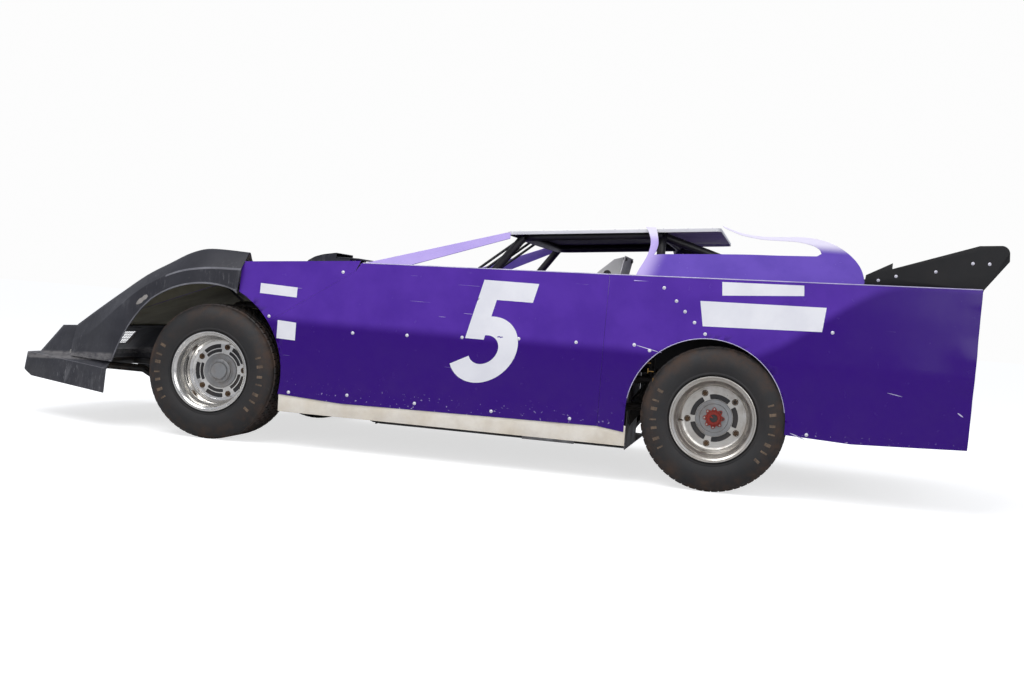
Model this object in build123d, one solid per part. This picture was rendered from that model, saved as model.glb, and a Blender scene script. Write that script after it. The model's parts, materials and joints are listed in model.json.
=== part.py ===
from build123d import *
from math import atan2, cos, hypot, pi, radians
import os

# Stock car for dirt ovals: tube frame and cage, sheet body, plastic nose, four wide-five wheels.
# Millimetres. +X forward, +Y to the car's left, +Z up from the ground under the tyres.

# Wheelbase and overhangs
WHEELBASE = 2616.0
FRONT_OVERHANG = 1292.0
REAR_OVERHANG = 1310.0
LENGTH = FRONT_OVERHANG + WHEELBASE + REAR_OVERHANG
FRONT_AXLE = LENGTH / 2 - FRONT_OVERHANG
REAR_AXLE = FRONT_AXLE - WHEELBASE

# Fits between pieces
SEAT_GAP = 0.3
RUNNING_CLEARANCE = 0.05
PANEL_GAP = 1.0

# Tyres, radii and half widths: tread edge, shoulder, widest ring, rim flange
TYRE_RADIUS = 355.0
TREAD_HALF = 138.0
SHOULDER_RADIUS = 331.0
SHOULDER_HALF = 164.0
TYRE_BULGE_RADIUS = 285.0
TYRE_HALF = 176.0
TYRE_WALL = 16.0
HUB_HEIGHT = TYRE_RADIUS

# Rims, 15 inch: lip, bead seat, well and the pressed centre disc
RIM_HALF = 165.0
RIM_LIP_RADIUS = 210.0
LIP_WIDTH = 13.0
BEAD_RADIUS = 191.0
BEAD_WIDTH = 39.0
WELL_RADIUS = 176.0
WELL_SLOPE = 16.0
RIM_WALL = 5.0
FRONT_WHEEL_Y = 820.0
REAR_WHEEL_Y = 810.0
FRONT_DISC_DEPTH = 150.0
REAR_DISC_DEPTH = 128.0
DISC_THICKNESS = 6.0
DISC_STEP_RADIUS = 158.0
DISC_BORE_RADIUS = 93.0
INNER_SLOT_RADIUS = 107.0
INNER_SLOT_WIDTH = 12.0
OUTER_SLOT_RADIUS = 130.0
OUTER_SLOT_WIDTH = 17.0
SLOT_ANGLE = 34.0

# Hubs, with five studs on the wide circle
LUG_COUNT = 5
LUG_CIRCLE_RADIUS = 130.0
STUD_RADIUS = 8.0
STUD_HOLE_RADIUS = 8.6
NUT_RADIUS = 15.0
NUT_HEIGHT = 14.0
STUD_PAST_NUT = 14.0
HUB_RADIUS = 92.0
HUB_PLATE = 14.0
HUB_BARREL_RADIUS = 62.0
FRONT_HUB_REACH = 92.0
REAR_HUB_REACH = 170.0
CAP_RADIUS = 60.0
CAP_HEIGHT = 30.0
FLANGE_RADIUS = 46.0
FLANGE_LOBES = 8
LOBE_RADIUS = 8.0
FLANGE_HEIGHT = 26.0
ROTOR_RADIUS = 150.0
ROTOR_THICKNESS = 20.0
ROTOR_INSET = 8.0

# Steering: kingpins, arms and the rack under them
SPINDLE_RADIUS = 25.0
KINGPIN_Y = 700.0
KINGPIN_RADIUS = 11.0
BALL_JOINT_HEIGHT = 125.0
STEER_ARM = 100.0
STEER_ARM_DROP = 62.0
STEER_ARM_DEPTH = 14.0
RACK_X = FRONT_AXLE + STEER_ARM
RACK_RADIUS = 7.5
RACK_EYE = 18.0
RACK_HEIGHT = HUB_HEIGHT - STEER_ARM_DROP - SEAT_GAP - RACK_EYE / 2
RACK_TUBE_RADIUS = 24.0
RACK_TUBE_HALF = 300.0

# Rear axle
AXLE_TUBE_RADIUS = 38.0
AXLE_SNOUT_RADIUS = 33.0
AXLE_BELL_RADIUS = 150.0
AXLE_BELL_HALF = 110.0
BIRDCAGE_Y = 520.0
BIRDCAGE_HALF = 45.0
BIRDCAGE_RISE = 105.0
PINION_DROP = 40.0
PINION_REACH = 250.0

# Sheet body: one side section along the whole car
SKIN = 3.0
PLASTIC = 5.0
BELT_Y = 940.0
BEND_Y = 972.0
BEND_HEIGHT = 665.0
SILL_Y = 962.0
SILL_HEIGHT = 100.0

# Belt line, front to rear: each height rises from the one before
FENDER_FRONT = FRONT_AXLE - 166.0
DOOR_FRONT = FRONT_AXLE - 777.0
QUARTER_FRONT = REAR_AXLE + 560.0
BODY_REAR = REAR_AXLE - REAR_OVERHANG + 116.0
FENDER_FRONT_HEIGHT = 947.0
FENDER_REAR_HEIGHT = FENDER_FRONT_HEIGHT + 45.0
DOOR_FRONT_HEIGHT = FENDER_REAR_HEIGHT - 10.0
QUARTER_FRONT_HEIGHT = FENDER_REAR_HEIGHT + 28.0
BODY_REAR_HEIGHT = QUARTER_FRONT_HEIGHT + 58.0
BELT_TOP = BODY_REAR_HEIGHT + 22.0
DECK_DROP = 16.0

# Lower edge of the sheet body
FENDER_BOTTOM_X = FRONT_AXLE - 380.0
FENDER_BOTTOM = 272.0
SKIRT_BOTTOM = 253.0
SKIRT_RISE = 16.0
TAIL_BOTTOM = 300.0
BODY_REAR_BOTTOM = 322.0
TAIL_TUCK = 9.0
ROCKER_OVERLAP = 30.0
ROCKER_BOTTOM = 182.0
ROCKER_TUCK = 60.0
ROCKER_FRONT = FRONT_AXLE - 384.0
ROCKER_REAR = REAR_AXLE + 420.0

# Wheel openings
REAR_ARCH_RADIUS = 386.0
REAR_ARCH_X = REAR_AXLE + 42.0
REAR_ARCH_Z = HUB_HEIGHT + 2.0
FRONT_ARCH = [
    # x past the front axle, height past the hub: rear foot to front foot, three points an arc
    (-380.0, -83.0), (-318.0, 257.0), (-118.0, 433.0), (128.0, 451.0), (360.0, 351.0), (505.0, 165.0),
    (596.0, -167.0),
]

# Roof
ROOF_FRONT = DOOR_FRONT - 678.0
ROOF_REAR = REAR_AXLE + 54.0
ROOF_HALF = 632.0
ROOF_FRONT_HEIGHT = FENDER_REAR_HEIGHT + 221.0
ROOF_REAR_HEIGHT = ROOF_FRONT_HEIGHT + 93.0
ROOF_LIP = 18.0
ROOF_CORNER = 30.0

# Reach past the whole car, for cutting
OUTSIDE_Y = BEND_Y + 230.0
OUTSIDE_Z = ROOF_FRONT_HEIGHT + ROOF_REAR_HEIGHT

# Frame rails and tubes
CAGE_TUBE = 22.0
RAIL_WIDTH = 50.0
RAIL_DEPTH = 75.0
RAIL_FRONT_Y = 330.0
RAIL_MID_Y = 470.0
RAIL_REAR_Y = 400.0
RAIL_FRONT_HEIGHT = 215.0
RAIL_MID_HEIGHT = 165.0
RAIL_KICK_HEIGHT = 500.0
RAIL_REAR_HEIGHT = 400.0
RAIL_FRONT_END = FRONT_AXLE + 400.0
RAIL_NECK_FRONT = FRONT_AXLE - 560.0
RAIL_NECK_REAR = FRONT_AXLE - 780.0
RAIL_KICK_FOOT = REAR_AXLE + 560.0
RAIL_KICK_TOP = REAR_AXLE + 330.0
RAIL_KICK_END = REAR_AXLE - 330.0
RAIL_TAIL_START = REAR_AXLE - 560.0
RAIL_REAR_END = REAR_AXLE - 960.0
TOWER_HALF = 145.0
TOWER_PLATE = 10.0
TOW_EYE_RADIUS = 13.0
TOWER_HEIGHTS = (240.0, 490.0)

# Cage: main hoop behind the driver, roof ring, hoops over both axles, door bars
HOOP_X = REAR_AXLE + 354.0
HOOP_HALF = 575.0
HOOP_KNEE = 620.0
HALO_HALF = 560.0
HALO_FRONT = ROOF_FRONT - 72.0
CAGE_BEND = 90.0
FRONT_HOOP_X = FRONT_AXLE - 40.0
FRONT_HOOP_HALF = 430.0
FRONT_HOOP_HEIGHT = 720.0
REAR_HOOP_X = REAR_AXLE - 100.0
REAR_HOOP_HALF = 470.0
REAR_HOOP_HEIGHT = 900.0
LEG_BEND_X = ROOF_FRONT + 76.0
UPPER_RAIL_RADIUS = 19.0
LEG_FOOT_X = DOOR_FRONT - 420.0
DOOR_BAR_HEIGHTS = (360.0, 500.0, 640.0)
DOOR_BAR_Y = 700.0
DOOR_BAR_RADIUS = 20.0
SCREEN_BAR_RADIUS = 7.0
SCREEN_BAR_PLACES = (555.0, 415.0, 275.0, 135.0)

# Cockpit: deck opening, floor, firewall, seat
FIREWALL_X = DOOR_FRONT - 20.0
FLOOR_TOP = RAIL_MID_HEIGHT - RAIL_DEPTH / 2
COCKPIT_REAR = HOOP_X + 105.0
COCKPIT_FRONT = ROOF_FRONT - 52.0
COCKPIT_RIGHT = 92.0
COCKPIT_LEFT = 650.0
SEAT_Y = 372.0
SEAT_HALF = 185.0
SEAT_WALL = 4.0
HEAD_WING_HALF = 130.0
WHEEL_RIM_RADIUS = 165.0
WHEEL_GRIP_RADIUS = 12.0
COLUMN_RADIUS = 14.0

# Engine as one block, gearbox, tanks
ENGINE_REAR = FRONT_AXLE - 577.0
ENGINE_FRONT = FRONT_AXLE - 77.0
ENGINE_HALF = 260.0
ENGINE_TOP = 720.0
INTAKE_TOP = 900.0
INTAKE_REAR = FRONT_AXLE - 407.0
INTAKE_FRONT = FRONT_AXLE - 197.0
CRANK_HEIGHT = 360.0
BELL_LENGTH = 140.0
GEARBOX_LENGTH = 270.0
SHAFT_RADIUS = 38.0

# Hood line
HOOD_REAR = DOOR_FRONT + 8.0
HOOD_FRONT = FRONT_AXLE + 935.0
HOOD_FRONT_HEIGHT = 523.0
HOOD_HALF = 560.0
AIR_BOX_HALF = 150.0

# Suspension: wishbones, coil-over springs, trailing links
ARM_BUSH_RADIUS = 18.0
ARM_TUBE = 12.0
ARM_PIVOT_Y = RAIL_FRONT_Y + RAIL_WIDTH / 2 + ARM_BUSH_RADIUS + SEAT_GAP
ARM_PIVOT_SPREAD = 120.0
UPPER_PIVOT_RISE = 105.0
LOWER_PIVOT_DROP = 118.0
SHOCK_PIN = 8.0
SHOCK_EYE = 16.0
SHOCK_EYE_HALF = 12.0
SHOCK_ROD = 10.0
SHOCK_BODY = 24.0
SPRING_RADIUS = 44.0
SPRING_COILS = 7
SHOCK_EAR = 6.0
FRONT_SHOCK_LOW_Y = 548.0
FRONT_SHOCK_TOP_Y = 480.0
REAR_SHOCK_LOW = 300.0
REAR_SHOCK_TOP_Y = 505.0
LINK_RADIUS = 12.0

# Spoiler
BOARD_Y = 880.0
BOARD_THICKNESS = 4.0
BOARD_CORNER = 38.0
BOARD_OUTLINE = [
    # x past the body's rear end, height past the belt there
    (543.0, -78.0), (532.0, 33.0), (412.0, 99.0), (412.0, 71.0), (24.0, 208.0), (-112.0, 219.0),
    (-116.0, 143.0), (-11.0, 0.0), (3.0, -78.0),
]


def side_plane(y):
    """Plane across the car at y, with X to the right and Z up; it faces the car's right."""
    return Plane(origin=(0, y, 0), x_dir=(1, 0, 0), z_dir=(0, -1, 0))


def wheel_plane(y):
    """Plane across the car at y that faces the car's left."""
    return Plane(origin=(0, y, 0), x_dir=(1, 0, 0), z_dir=(0, 1, 0))


def across(outline, y_low, y_high):
    """Solid between two planes across the car, from an outline in X and Z."""
    return extrude(side_plane(y_high) * make_face(outline), y_high - y_low)


def across_polygon(points, y_low, y_high):
    """As across, from the corners of a polygon in X and Z."""
    return across(Polyline(*points, close=True), y_low, y_high)


def along(points, x_low, x_high):
    """Solid along the car between two stations, from a polygon in Y and Z."""
    face = station_plane(x_low) * make_face(Polyline(*points, close=True))
    return extrude(face, x_high - x_low)


def station_plane(x):
    """Plane across the car's length at a station, with Y to the right and Z up."""
    return Plane(origin=(x, 0, 0), x_dir=(0, 1, 0), z_dir=(1, 0, 0))


def block(x_range, y_range, z_range):
    """Box between two corners given as ranges, in any order."""
    ranges = [sorted(pair) for pair in (x_range, y_range, z_range)]
    size = [high - low for low, high in ranges]
    middle = [(high + low) / 2 for low, high in ranges]
    return Pos(*middle) * Box(*size)


def tube(start, end, radius=CAGE_TUBE):
    """Round bar between two points."""
    run = Vector(*end) - Vector(*start)
    return extrude(Plane(origin=start, z_dir=run) * Circle(radius), run.length)


def bent_tube(points, bend, radius=CAGE_TUBE):
    """Round bar along straight runs joined by bends of one radius."""
    runs = []
    for edge in FilletPolyline(*points, radius=bend).edges():
        start = Plane(origin=edge @ 0, z_dir=edge % 0) * Circle(radius)
        straight = edge.geom_type == GeomType.LINE
        runs.append(extrude(start, edge.length) if straight else sweep(start, path=edge))
    return runs[0] + runs[1:]


def beam(start, end, width=RAIL_WIDTH, depth=RAIL_DEPTH):
    """Rectangular bar between two points, its depth in the upright plane of its run."""
    run = Vector(*end) - Vector(*start)
    level = Vector(0, 0, 1).cross(run).normalized()
    return extrude(Plane(origin=start, x_dir=level, z_dir=run) * Rectangle(width, depth), run.length)


def turned(profile):
    """Solid of revolution about Y, from a closed polygon of (y, radius) points."""
    return revolve(Plane.YZ * make_face(Polyline(*profile, close=True)), Axis.Y)


def strip(points, thickness):
    """Closed outline of a bent sheet: the points given, and their mitred copy on the right hand."""
    back = []
    last = len(points) - 1
    for index, (u, v) in enumerate(points):
        before = points[max(index - 1, 0)]
        after = points[min(index + 1, last)]
        in_angle = atan2(v - before[1], u - before[0]) if index > 0 else None
        out_angle = atan2(after[1] - v, after[0] - u) if index < last else None
        first = in_angle if in_angle is not None else out_angle
        second = out_angle if out_angle is not None else in_angle
        turn = (second - first + pi) % (2 * pi) - pi
        middle = first + turn / 2
        reach = thickness / cos(turn / 2)
        back.append((u + reach * cos(middle - pi / 2), v + reach * cos(middle - pi)))
    return list(points) + back[::-1]


def other_side(shape):
    """The right-hand copy of a left-hand shape."""
    return mirror(shape, about=Plane.XZ)


def both_sides(shape):
    """The shape on the left and its mirror image on the right."""
    return pack_solids(shape, other_side(shape))


def pack_solids(*shapes):
    """One compound of the separate solids of several shapes."""
    solids = []
    for shape in shapes:
        solids.extend(shape.solids())
    return Compound(children=solids)


def largest(shape):
    """The largest solid of a shape that cutting may have left in pieces."""
    return max(shape.solids(), key=lambda solid: solid.volume)


def between(x, start, end):
    """Height at a station on the line between two (x, height) points."""
    return start[1] + (end[1] - start[1]) * (x - start[0]) / (end[0] - start[0])


def side_section():
    """Section of the left side sheet in Y and Z: outer face top to bottom, then inner face bottom to top."""
    return strip([(BELT_Y, BELT_TOP), (BEND_Y, BEND_HEIGHT), (SILL_Y, SILL_HEIGHT)], SKIN)


def side_y(z):
    """Half width at the side sheet's inner face, at a height below its bend."""
    low, bend = side_section()[3:5]
    return low[0] + (bend[0] - low[0]) * (z - low[1]) / (bend[1] - low[1])


def side_skin():
    """Left side sheet over the whole length, before its outline is cut."""
    return along(side_section(), -LENGTH / 2, LENGTH / 2)


def side_room():
    """Everything between the two side sheets."""
    inner = side_section()[3:]
    return along(inner + [(-y, z) for y, z in inner[::-1]], -LENGTH / 2, LENGTH / 2)


def front_arch_cut():
    """Solid that opens the front wheel arch through fender and flare."""
    points = [(FRONT_AXLE + x, HUB_HEIGHT + z) for x, z in FRONT_ARCH]
    foot, front = points[0], points[-1]
    low_front, low_rear = (front[0] + PANEL_GAP, 0), (foot[0], 0)
    arcs = [ThreePointArc(*points[index:index + 3]) for index in (0, 2, 4)]
    base = Polyline(front, low_front, low_rear, foot)
    return across([*arcs, base], HOOD_HALF - 60, OUTSIDE_Y)


def body_sides(skin):
    """Fender, door and quarter sheets of the left side."""
    arch = front_arch_cut()
    low, high = HOOD_HALF, OUTSIDE_Y
    seam = [(DOOR_FRONT + 30, DOOR_FRONT_HEIGHT - 44), (FRONT_AXLE - 320, 653), (FRONT_AXLE - 260, 600)]
    fender_outline = [
        (HOOD_REAR, FENDER_REAR_HEIGHT), *seam, (FENDER_FRONT + 40, 600),
        (FENDER_FRONT + 40, FENDER_FRONT_HEIGHT - 4),
    ]
    fender = across_polygon(fender_outline, low, high) - arch
    door_outline = [
        (DOOR_FRONT, DOOR_FRONT_HEIGHT), *[(x - PANEL_GAP, z) for x, z in seam], (FENDER_BOTTOM_X + 30, 500),
        (FENDER_BOTTOM_X, FENDER_BOTTOM), (DOOR_FRONT + 50, SKIRT_BOTTOM),
        (QUARTER_FRONT + PANEL_GAP, SKIRT_BOTTOM + SKIRT_RISE), (QUARTER_FRONT + PANEL_GAP,
                                                                 QUARTER_FRONT_HEIGHT),
    ]
    door = across_polygon(door_outline, low, high) - arch
    quarter_outline = [
        (QUARTER_FRONT, QUARTER_FRONT_HEIGHT), (BODY_REAR, BODY_REAR_HEIGHT),
        (BODY_REAR + TAIL_TUCK, BODY_REAR_BOTTOM), (REAR_AXLE - 658, TAIL_BOTTOM),
        (REAR_ARCH_X - REAR_ARCH_RADIUS, TAIL_BOTTOM + 14), (REAR_ARCH_X, 200),
        (QUARTER_FRONT, SKIRT_BOTTOM + SKIRT_RISE),
    ]
    reach = REAR_ARCH_RADIUS
    wheel_arch = extrude(side_plane(high) * Pos(REAR_ARCH_X, REAR_ARCH_Z) * Circle(reach), high - low)
    foot = block((REAR_ARCH_X - reach, REAR_ARCH_X + reach), (low, high), (0, REAR_ARCH_Z))
    quarter = across_polygon(quarter_outline, low, high) - wheel_arch - foot
    return skin & fender, skin & door, skin & quarter


def rocker(skin):
    """Left sill: a folded sheet below the door, tucked in at its foot."""
    inner = side_y(SKIRT_BOTTOM + 10) - SEAT_GAP
    profile = strip([(inner, SKIRT_BOTTOM + ROCKER_OVERLAP), (inner - 8, ROCKER_BOTTOM),
                     (inner - ROCKER_TUCK, ROCKER_BOTTOM - 4)], SKIN)
    return along(profile, ROCKER_REAR, ROCKER_FRONT) - skin


def hood_line():
    """Hood's upper face in X and Z: cowl, fender front, nose top."""
    return [(HOOD_REAR, FENDER_REAR_HEIGHT - DECK_DROP), (FENDER_FRONT, FENDER_FRONT_HEIGHT - 4),
            (HOOD_FRONT, HOOD_FRONT_HEIGHT)]


def hood_height(x):
    """Height of the hood's upper face at a station."""
    rear, middle, front = hood_line()
    return between(x, rear, middle) if x < middle[0] else between(x, middle, front)


# Flare stations: the wheel's arch, its shoulder crease, and the ridge that runs down to the nose
FLARE_FOOT = 356.0
FLARE_STATIONS = [
    # x past the front axle; foot y; crease y, height; ridge y, height; inner y, height.
    # Heights are shares of the rise from the flare's foot to the fender's front corner.
    (-145.0, 985.0, 985.0, 0.920, 905.0, 1.080, 590.0, 1.040),
    (20.0, 985.0, 985.0, 0.915, 900.0, 1.090, 590.0, 1.062),
    (110.0, 985.0, 985.0, 0.898, 896.0, 1.080, 590.0, 1.050),
    (200.0, 985.0, 984.0, 0.866, 890.0, 1.034, 590.0, 1.002),
    (300.0, 984.0, 980.0, 0.799, 885.0, 0.951, 590.0, 0.915),
    (440.0, 980.0, 970.0, 0.658, 875.0, 0.819, 592.0, 0.777),
    (600.0, 950.0, 925.0, 0.450, 850.0, 0.635, 600.0, 0.600),
    (760.0, 866.0, 848.0, 0.252, 800.0, 0.460, 612.0, 0.430),
    (907.0, 790.0, 779.0, 0.130, 740.0, 0.301, 625.0, 0.310),
]


def flare():
    """Left front flare: a lofted plastic shell over the wheel, open at the arch."""
    rise = FENDER_FRONT_HEIGHT - FLARE_FOOT
    sections = []
    for x, foot_y, crease_y, crease, ridge_y, ridge, inner_y, inner in FLARE_STATIONS:
        station = FRONT_AXLE + x
        inner_z = FLARE_FOOT + inner * rise
        outline = [(HOOD_HALF, min(hood_height(station), inner_z - 20)), (inner_y, inner_z),
                   (ridge_y, FLARE_FOOT + ridge * rise), (crease_y, FLARE_FOOT + crease * rise),
                   (foot_y, FLARE_FOOT)]
        sections.append(station_plane(station) * make_face(Polyline(*strip(outline, PLASTIC), close=True)))
    return loft(sections, ruled=True) - front_arch_cut()


# Nose: plan at the ground, then each level drawn in at the sides and the front
NOSE_TIP = LENGTH / 2
NOSE_CORNER = (FRONT_AXLE + 596.0, 975.0)
NOSE_FRONT = (FRONT_AXLE + 1283.0, 652.0)
NOSE_FRONT_RADIUS = 80.0
NOSE_BEHIND = 36.0
NOSE_LEVELS = [
    # inset at the sides, inset at the front, height at the rear corner, height at the tip
    (-5.0, -5.0, 150.0, 225.0),
    (8.0, 12.0, 314.0, 347.0),
    (55.0, 80.0, 366.0, 352.0),
    (100.0, 220.0, 540.0, 500.0),
]
VALANCE_BOTTOM = [
    # x past the front axle, height of the valance's lower edge
    (596.0, 187.0), (1193.0, 217.0), (1292.0, 262.0),
]
INLET_HALF = 330.0
INLET_HEIGHTS = (392.0, 470.0)


def nose_plan(side_inset, front_inset, rear_height, tip_height):
    """Plan outline of the nose at one level, on a plane that falls or rises to the tip."""
    (corner_x, corner_y), (front_x, front_y) = NOSE_CORNER, NOSE_FRONT
    slope = (corner_y - front_y) / (front_x - corner_x)
    side = corner_y - side_inset * hypot(1, slope)
    reach = front_x - front_inset - corner_x
    front = (reach, side - slope * reach)
    points = [(-NOSE_BEHIND, side), (0, side), front]
    mirrored = [(x, -y) for x, y in points[::-1]]
    tip = (NOSE_TIP - front_inset - corner_x, 0)
    edges = [Polyline(*points), ThreePointArc(front, tip, mirrored[0]), Polyline(*mirrored)]
    face = make_face([*edges, Line(mirrored[-1], points[0])])
    corners = [vertex for vertex in face.vertices() if abs(vertex.X - reach) < 1]
    fall = (tip_height - rear_height) / (NOSE_TIP - corner_x)
    level = Plane(origin=(corner_x, 0, rear_height), x_dir=(1, 0, fall), z_dir=(-fall, 0, 1))
    return level * fillet(corners, NOSE_FRONT_RADIUS)


def nose_body(wall):
    """The nose as a solid, drawn in by a wall: valance, shelf and ramp."""
    levels = [(side + wall, front + wall, rear - wall, tip - wall) for side, front, rear, tip in NOSE_LEVELS]
    plans = [nose_plan(*level) for level in levels]
    tiers = [loft([low, high], ruled=True) for low, high in zip(plans, plans[1:])]
    return tiers[0] + tiers[1:]


def nose(flares, hood_sheet):
    """Plastic nose: valance, shelf and ramp as one open shell with the air inlet in the ramp."""
    edge = [(FRONT_AXLE + x, z) for x, z in VALANCE_BOTTOM]
    rear = NOSE_CORNER[0] - NOSE_BEHIND
    outline = [*edge, (NOSE_TIP + NOSE_BEHIND, edge[-1][1]), (NOSE_TIP + NOSE_BEHIND, 0), (rear, 0),
               (rear, edge[0][1])]
    below = across_polygon(outline, -OUTSIDE_Y, OUTSIDE_Y)
    inlet = block((HOOD_FRONT, NOSE_TIP), (-INLET_HALF, INLET_HALF), INLET_HEIGHTS)
    under_hood = block((0, HOOD_FRONT - 30), (-HOOD_HALF - 40, HOOD_HALF + 40), (0, OUTSIDE_Z))
    behind = block((0, NOSE_CORNER[0]), (-OUTSIDE_Y, OUTSIDE_Y), (0, OUTSIDE_Z))
    return nose_body(0) - nose_body(PLASTIC) - below - inlet - under_hood - behind - flares - hood_sheet


def lug_places():
    """The five studs' places on the wheel face, first one straight up."""
    angles = [radians(90 + 360 / LUG_COUNT * index) for index in range(LUG_COUNT)]
    return [(LUG_CIRCLE_RADIUS * cos(angle), LUG_CIRCLE_RADIUS * cos(angle - pi / 2)) for angle in angles]


def tyre():
    """Tyre about the Y axis: flat tread, shoulders and sidewalls round a hollow."""
    half = [
        (TREAD_HALF, TYRE_RADIUS), (SHOULDER_HALF, SHOULDER_RADIUS), (TYRE_HALF, TYRE_BULGE_RADIUS),
        (RIM_HALF - LIP_WIDTH + 4.5, RIM_LIP_RADIUS + 2), (RIM_HALF - LIP_WIDTH, BEAD_RADIUS),
        (RIM_HALF - LIP_WIDTH - 27, BEAD_RADIUS), (RIM_HALF - LIP_WIDTH - 27, BEAD_RADIUS + 30),
        (TREAD_HALF - 10, TYRE_RADIUS - TYRE_WALL),
    ]
    return turned(half + [(-y, radius) for y, radius in half[::-1]])


def rim(disc_depth, slot_rows):
    """Rim about the Y axis, outboard along +Y: stepped barrel and slotted disc."""
    half = [
        (RIM_HALF, RIM_LIP_RADIUS), (RIM_HALF - LIP_WIDTH + 4, RIM_LIP_RADIUS - 1), (RIM_HALF - LIP_WIDTH,
                                                                                     BEAD_RADIUS),
        (RIM_HALF - LIP_WIDTH - BEAD_WIDTH,
         BEAD_RADIUS - 1), (RIM_HALF - LIP_WIDTH - BEAD_WIDTH - WELL_SLOPE, WELL_RADIUS),
    ]
    barrel = [(-y, radius) for y, radius in half] + half[::-1]
    face = RIM_HALF - disc_depth
    dish = [
        (face - DISC_THICKNESS, DISC_BORE_RADIUS), (face, DISC_BORE_RADIUS), (face, DISC_STEP_RADIUS),
        (face + 2 * DISC_THICKNESS, WELL_RADIUS - RIM_WALL + 1), (face - 2 * DISC_THICKNESS,
                                                                  WELL_RADIUS - RIM_WALL + 1),
        (face - DISC_THICKNESS, DISC_STEP_RADIUS + 4),
    ]
    shapes = [Pos(*lug) * Circle(STUD_HOLE_RADIUS) for lug in lug_places()]
    for radius, width in slot_rows:
        arc = CenterArc((0, 0), radius, -SLOT_ANGLE / 2, SLOT_ANGLE)
        angles = [90 + 360 / LUG_COUNT * (index + 0.5) for index in range(LUG_COUNT)]
        shapes += [Rot(0, 0, angle) * SlotArc(arc, width) for angle in angles]
    facing = wheel_plane(face - 2 * DISC_THICKNESS)
    cuts = [extrude(facing * shape, 4 * DISC_THICKNESS) for shape in shapes]
    return turned(strip(barrel, RIM_WALL)) + turned(dish) - cuts


def hub(disc_depth, reach, bore, cap):
    """Hub about the Y axis: plate, barrel, brake rotor, studs with nuts, and the cap given for its face."""
    face = RIM_HALF - disc_depth
    back = face - DISC_THICKNESS
    plate_radius = LUG_CIRCLE_RADIUS + 20
    plate = turned([(back - HUB_PLATE, bore), (face + 6, bore), (face + 6, HUB_RADIUS), (back, HUB_RADIUS),
                    (back, plate_radius), (back - HUB_PLATE, plate_radius)])
    barrel = turned([(back - reach, bore), (back - HUB_PLATE, bore),
                     (back - HUB_PLATE, HUB_BARREL_RADIUS + 18),
                     (back - HUB_PLATE - 20, HUB_BARREL_RADIUS), (back - reach, HUB_BARREL_RADIUS)])
    rotor_face = back - reach + ROTOR_INSET
    rotor = turned([(rotor_face, HUB_BARREL_RADIUS - 2),
                    (rotor_face + ROTOR_THICKNESS, HUB_BARREL_RADIUS - 2),
                    (rotor_face + ROTOR_THICKNESS, ROTOR_RADIUS), (rotor_face, ROTOR_RADIUS)])
    whole = plate + barrel + rotor + (Pos(0, face + 6, 0) * cap)
    stud_length = 8 + DISC_THICKNESS + NUT_HEIGHT + STUD_PAST_NUT
    for lug in lug_places():
        whole += extrude(wheel_plane(back - 8) * Pos(*lug) * Circle(STUD_RADIUS), stud_length)
        whole += extrude(wheel_plane(face) * Pos(*lug) * RegularPolygon(NUT_RADIUS, 6), NUT_HEIGHT)
    return whole


def bearing_cap(bore):
    """Stepped cap over a front hub's bearing, open over the spindle."""
    return turned([(0, bore), (CAP_HEIGHT - 6, bore), (CAP_HEIGHT - 6, CAP_RADIUS - 14),
                   (CAP_HEIGHT - 14, CAP_RADIUS - 12),
                   (CAP_HEIGHT - 18, CAP_RADIUS), (0, CAP_RADIUS)])


def drive_flange(bore):
    """Lobed drive flange of a rear hub, open over the axle's snout."""
    outline = Circle(FLANGE_RADIUS)
    for index in range(FLANGE_LOBES):
        outline += Rot(0, 0, 360 / FLANGE_LOBES * index) * Pos(FLANGE_RADIUS, 0) * Circle(LOBE_RADIUS)
    return extrude(wheel_plane(0) * (outline - Circle(bore)), FLANGE_HEIGHT - 6)


def corner_wheels():
    """Tyre, rim and hub of each corner, each with its node name."""
    front_bore, rear_bore = SPINDLE_RADIUS + RUNNING_CLEARANCE, AXLE_SNOUT_RADIUS + RUNNING_CLEARANCE
    inner, outer = (INNER_SLOT_RADIUS, INNER_SLOT_WIDTH), (OUTER_SLOT_RADIUS, OUTER_SLOT_WIDTH)
    corners = [
        # end, wheel's place, rim and hub
        ("front", (FRONT_AXLE, FRONT_WHEEL_Y), rim(FRONT_DISC_DEPTH, [inner, outer]),
         hub(FRONT_DISC_DEPTH, FRONT_HUB_REACH, front_bore, bearing_cap(front_bore))),
        ("rear", (REAR_AXLE, REAR_WHEEL_Y), rim(REAR_DISC_DEPTH, [inner]),
         hub(REAR_DISC_DEPTH, REAR_HUB_REACH, rear_bore, drive_flange(rear_bore))),
    ]
    parts = {}
    for end, (x, y), rim_piece, hub_piece in corners:
        for kind, piece in (("tyre", tyre()), ("rim", rim_piece), ("hub", hub_piece)):
            placed = Pos(x, y, HUB_HEIGHT) * piece
            parts[f"{kind}_{end}_left"] = placed
            parts[f"{kind}_{end}_right"] = other_side(placed)
    return parts


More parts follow.
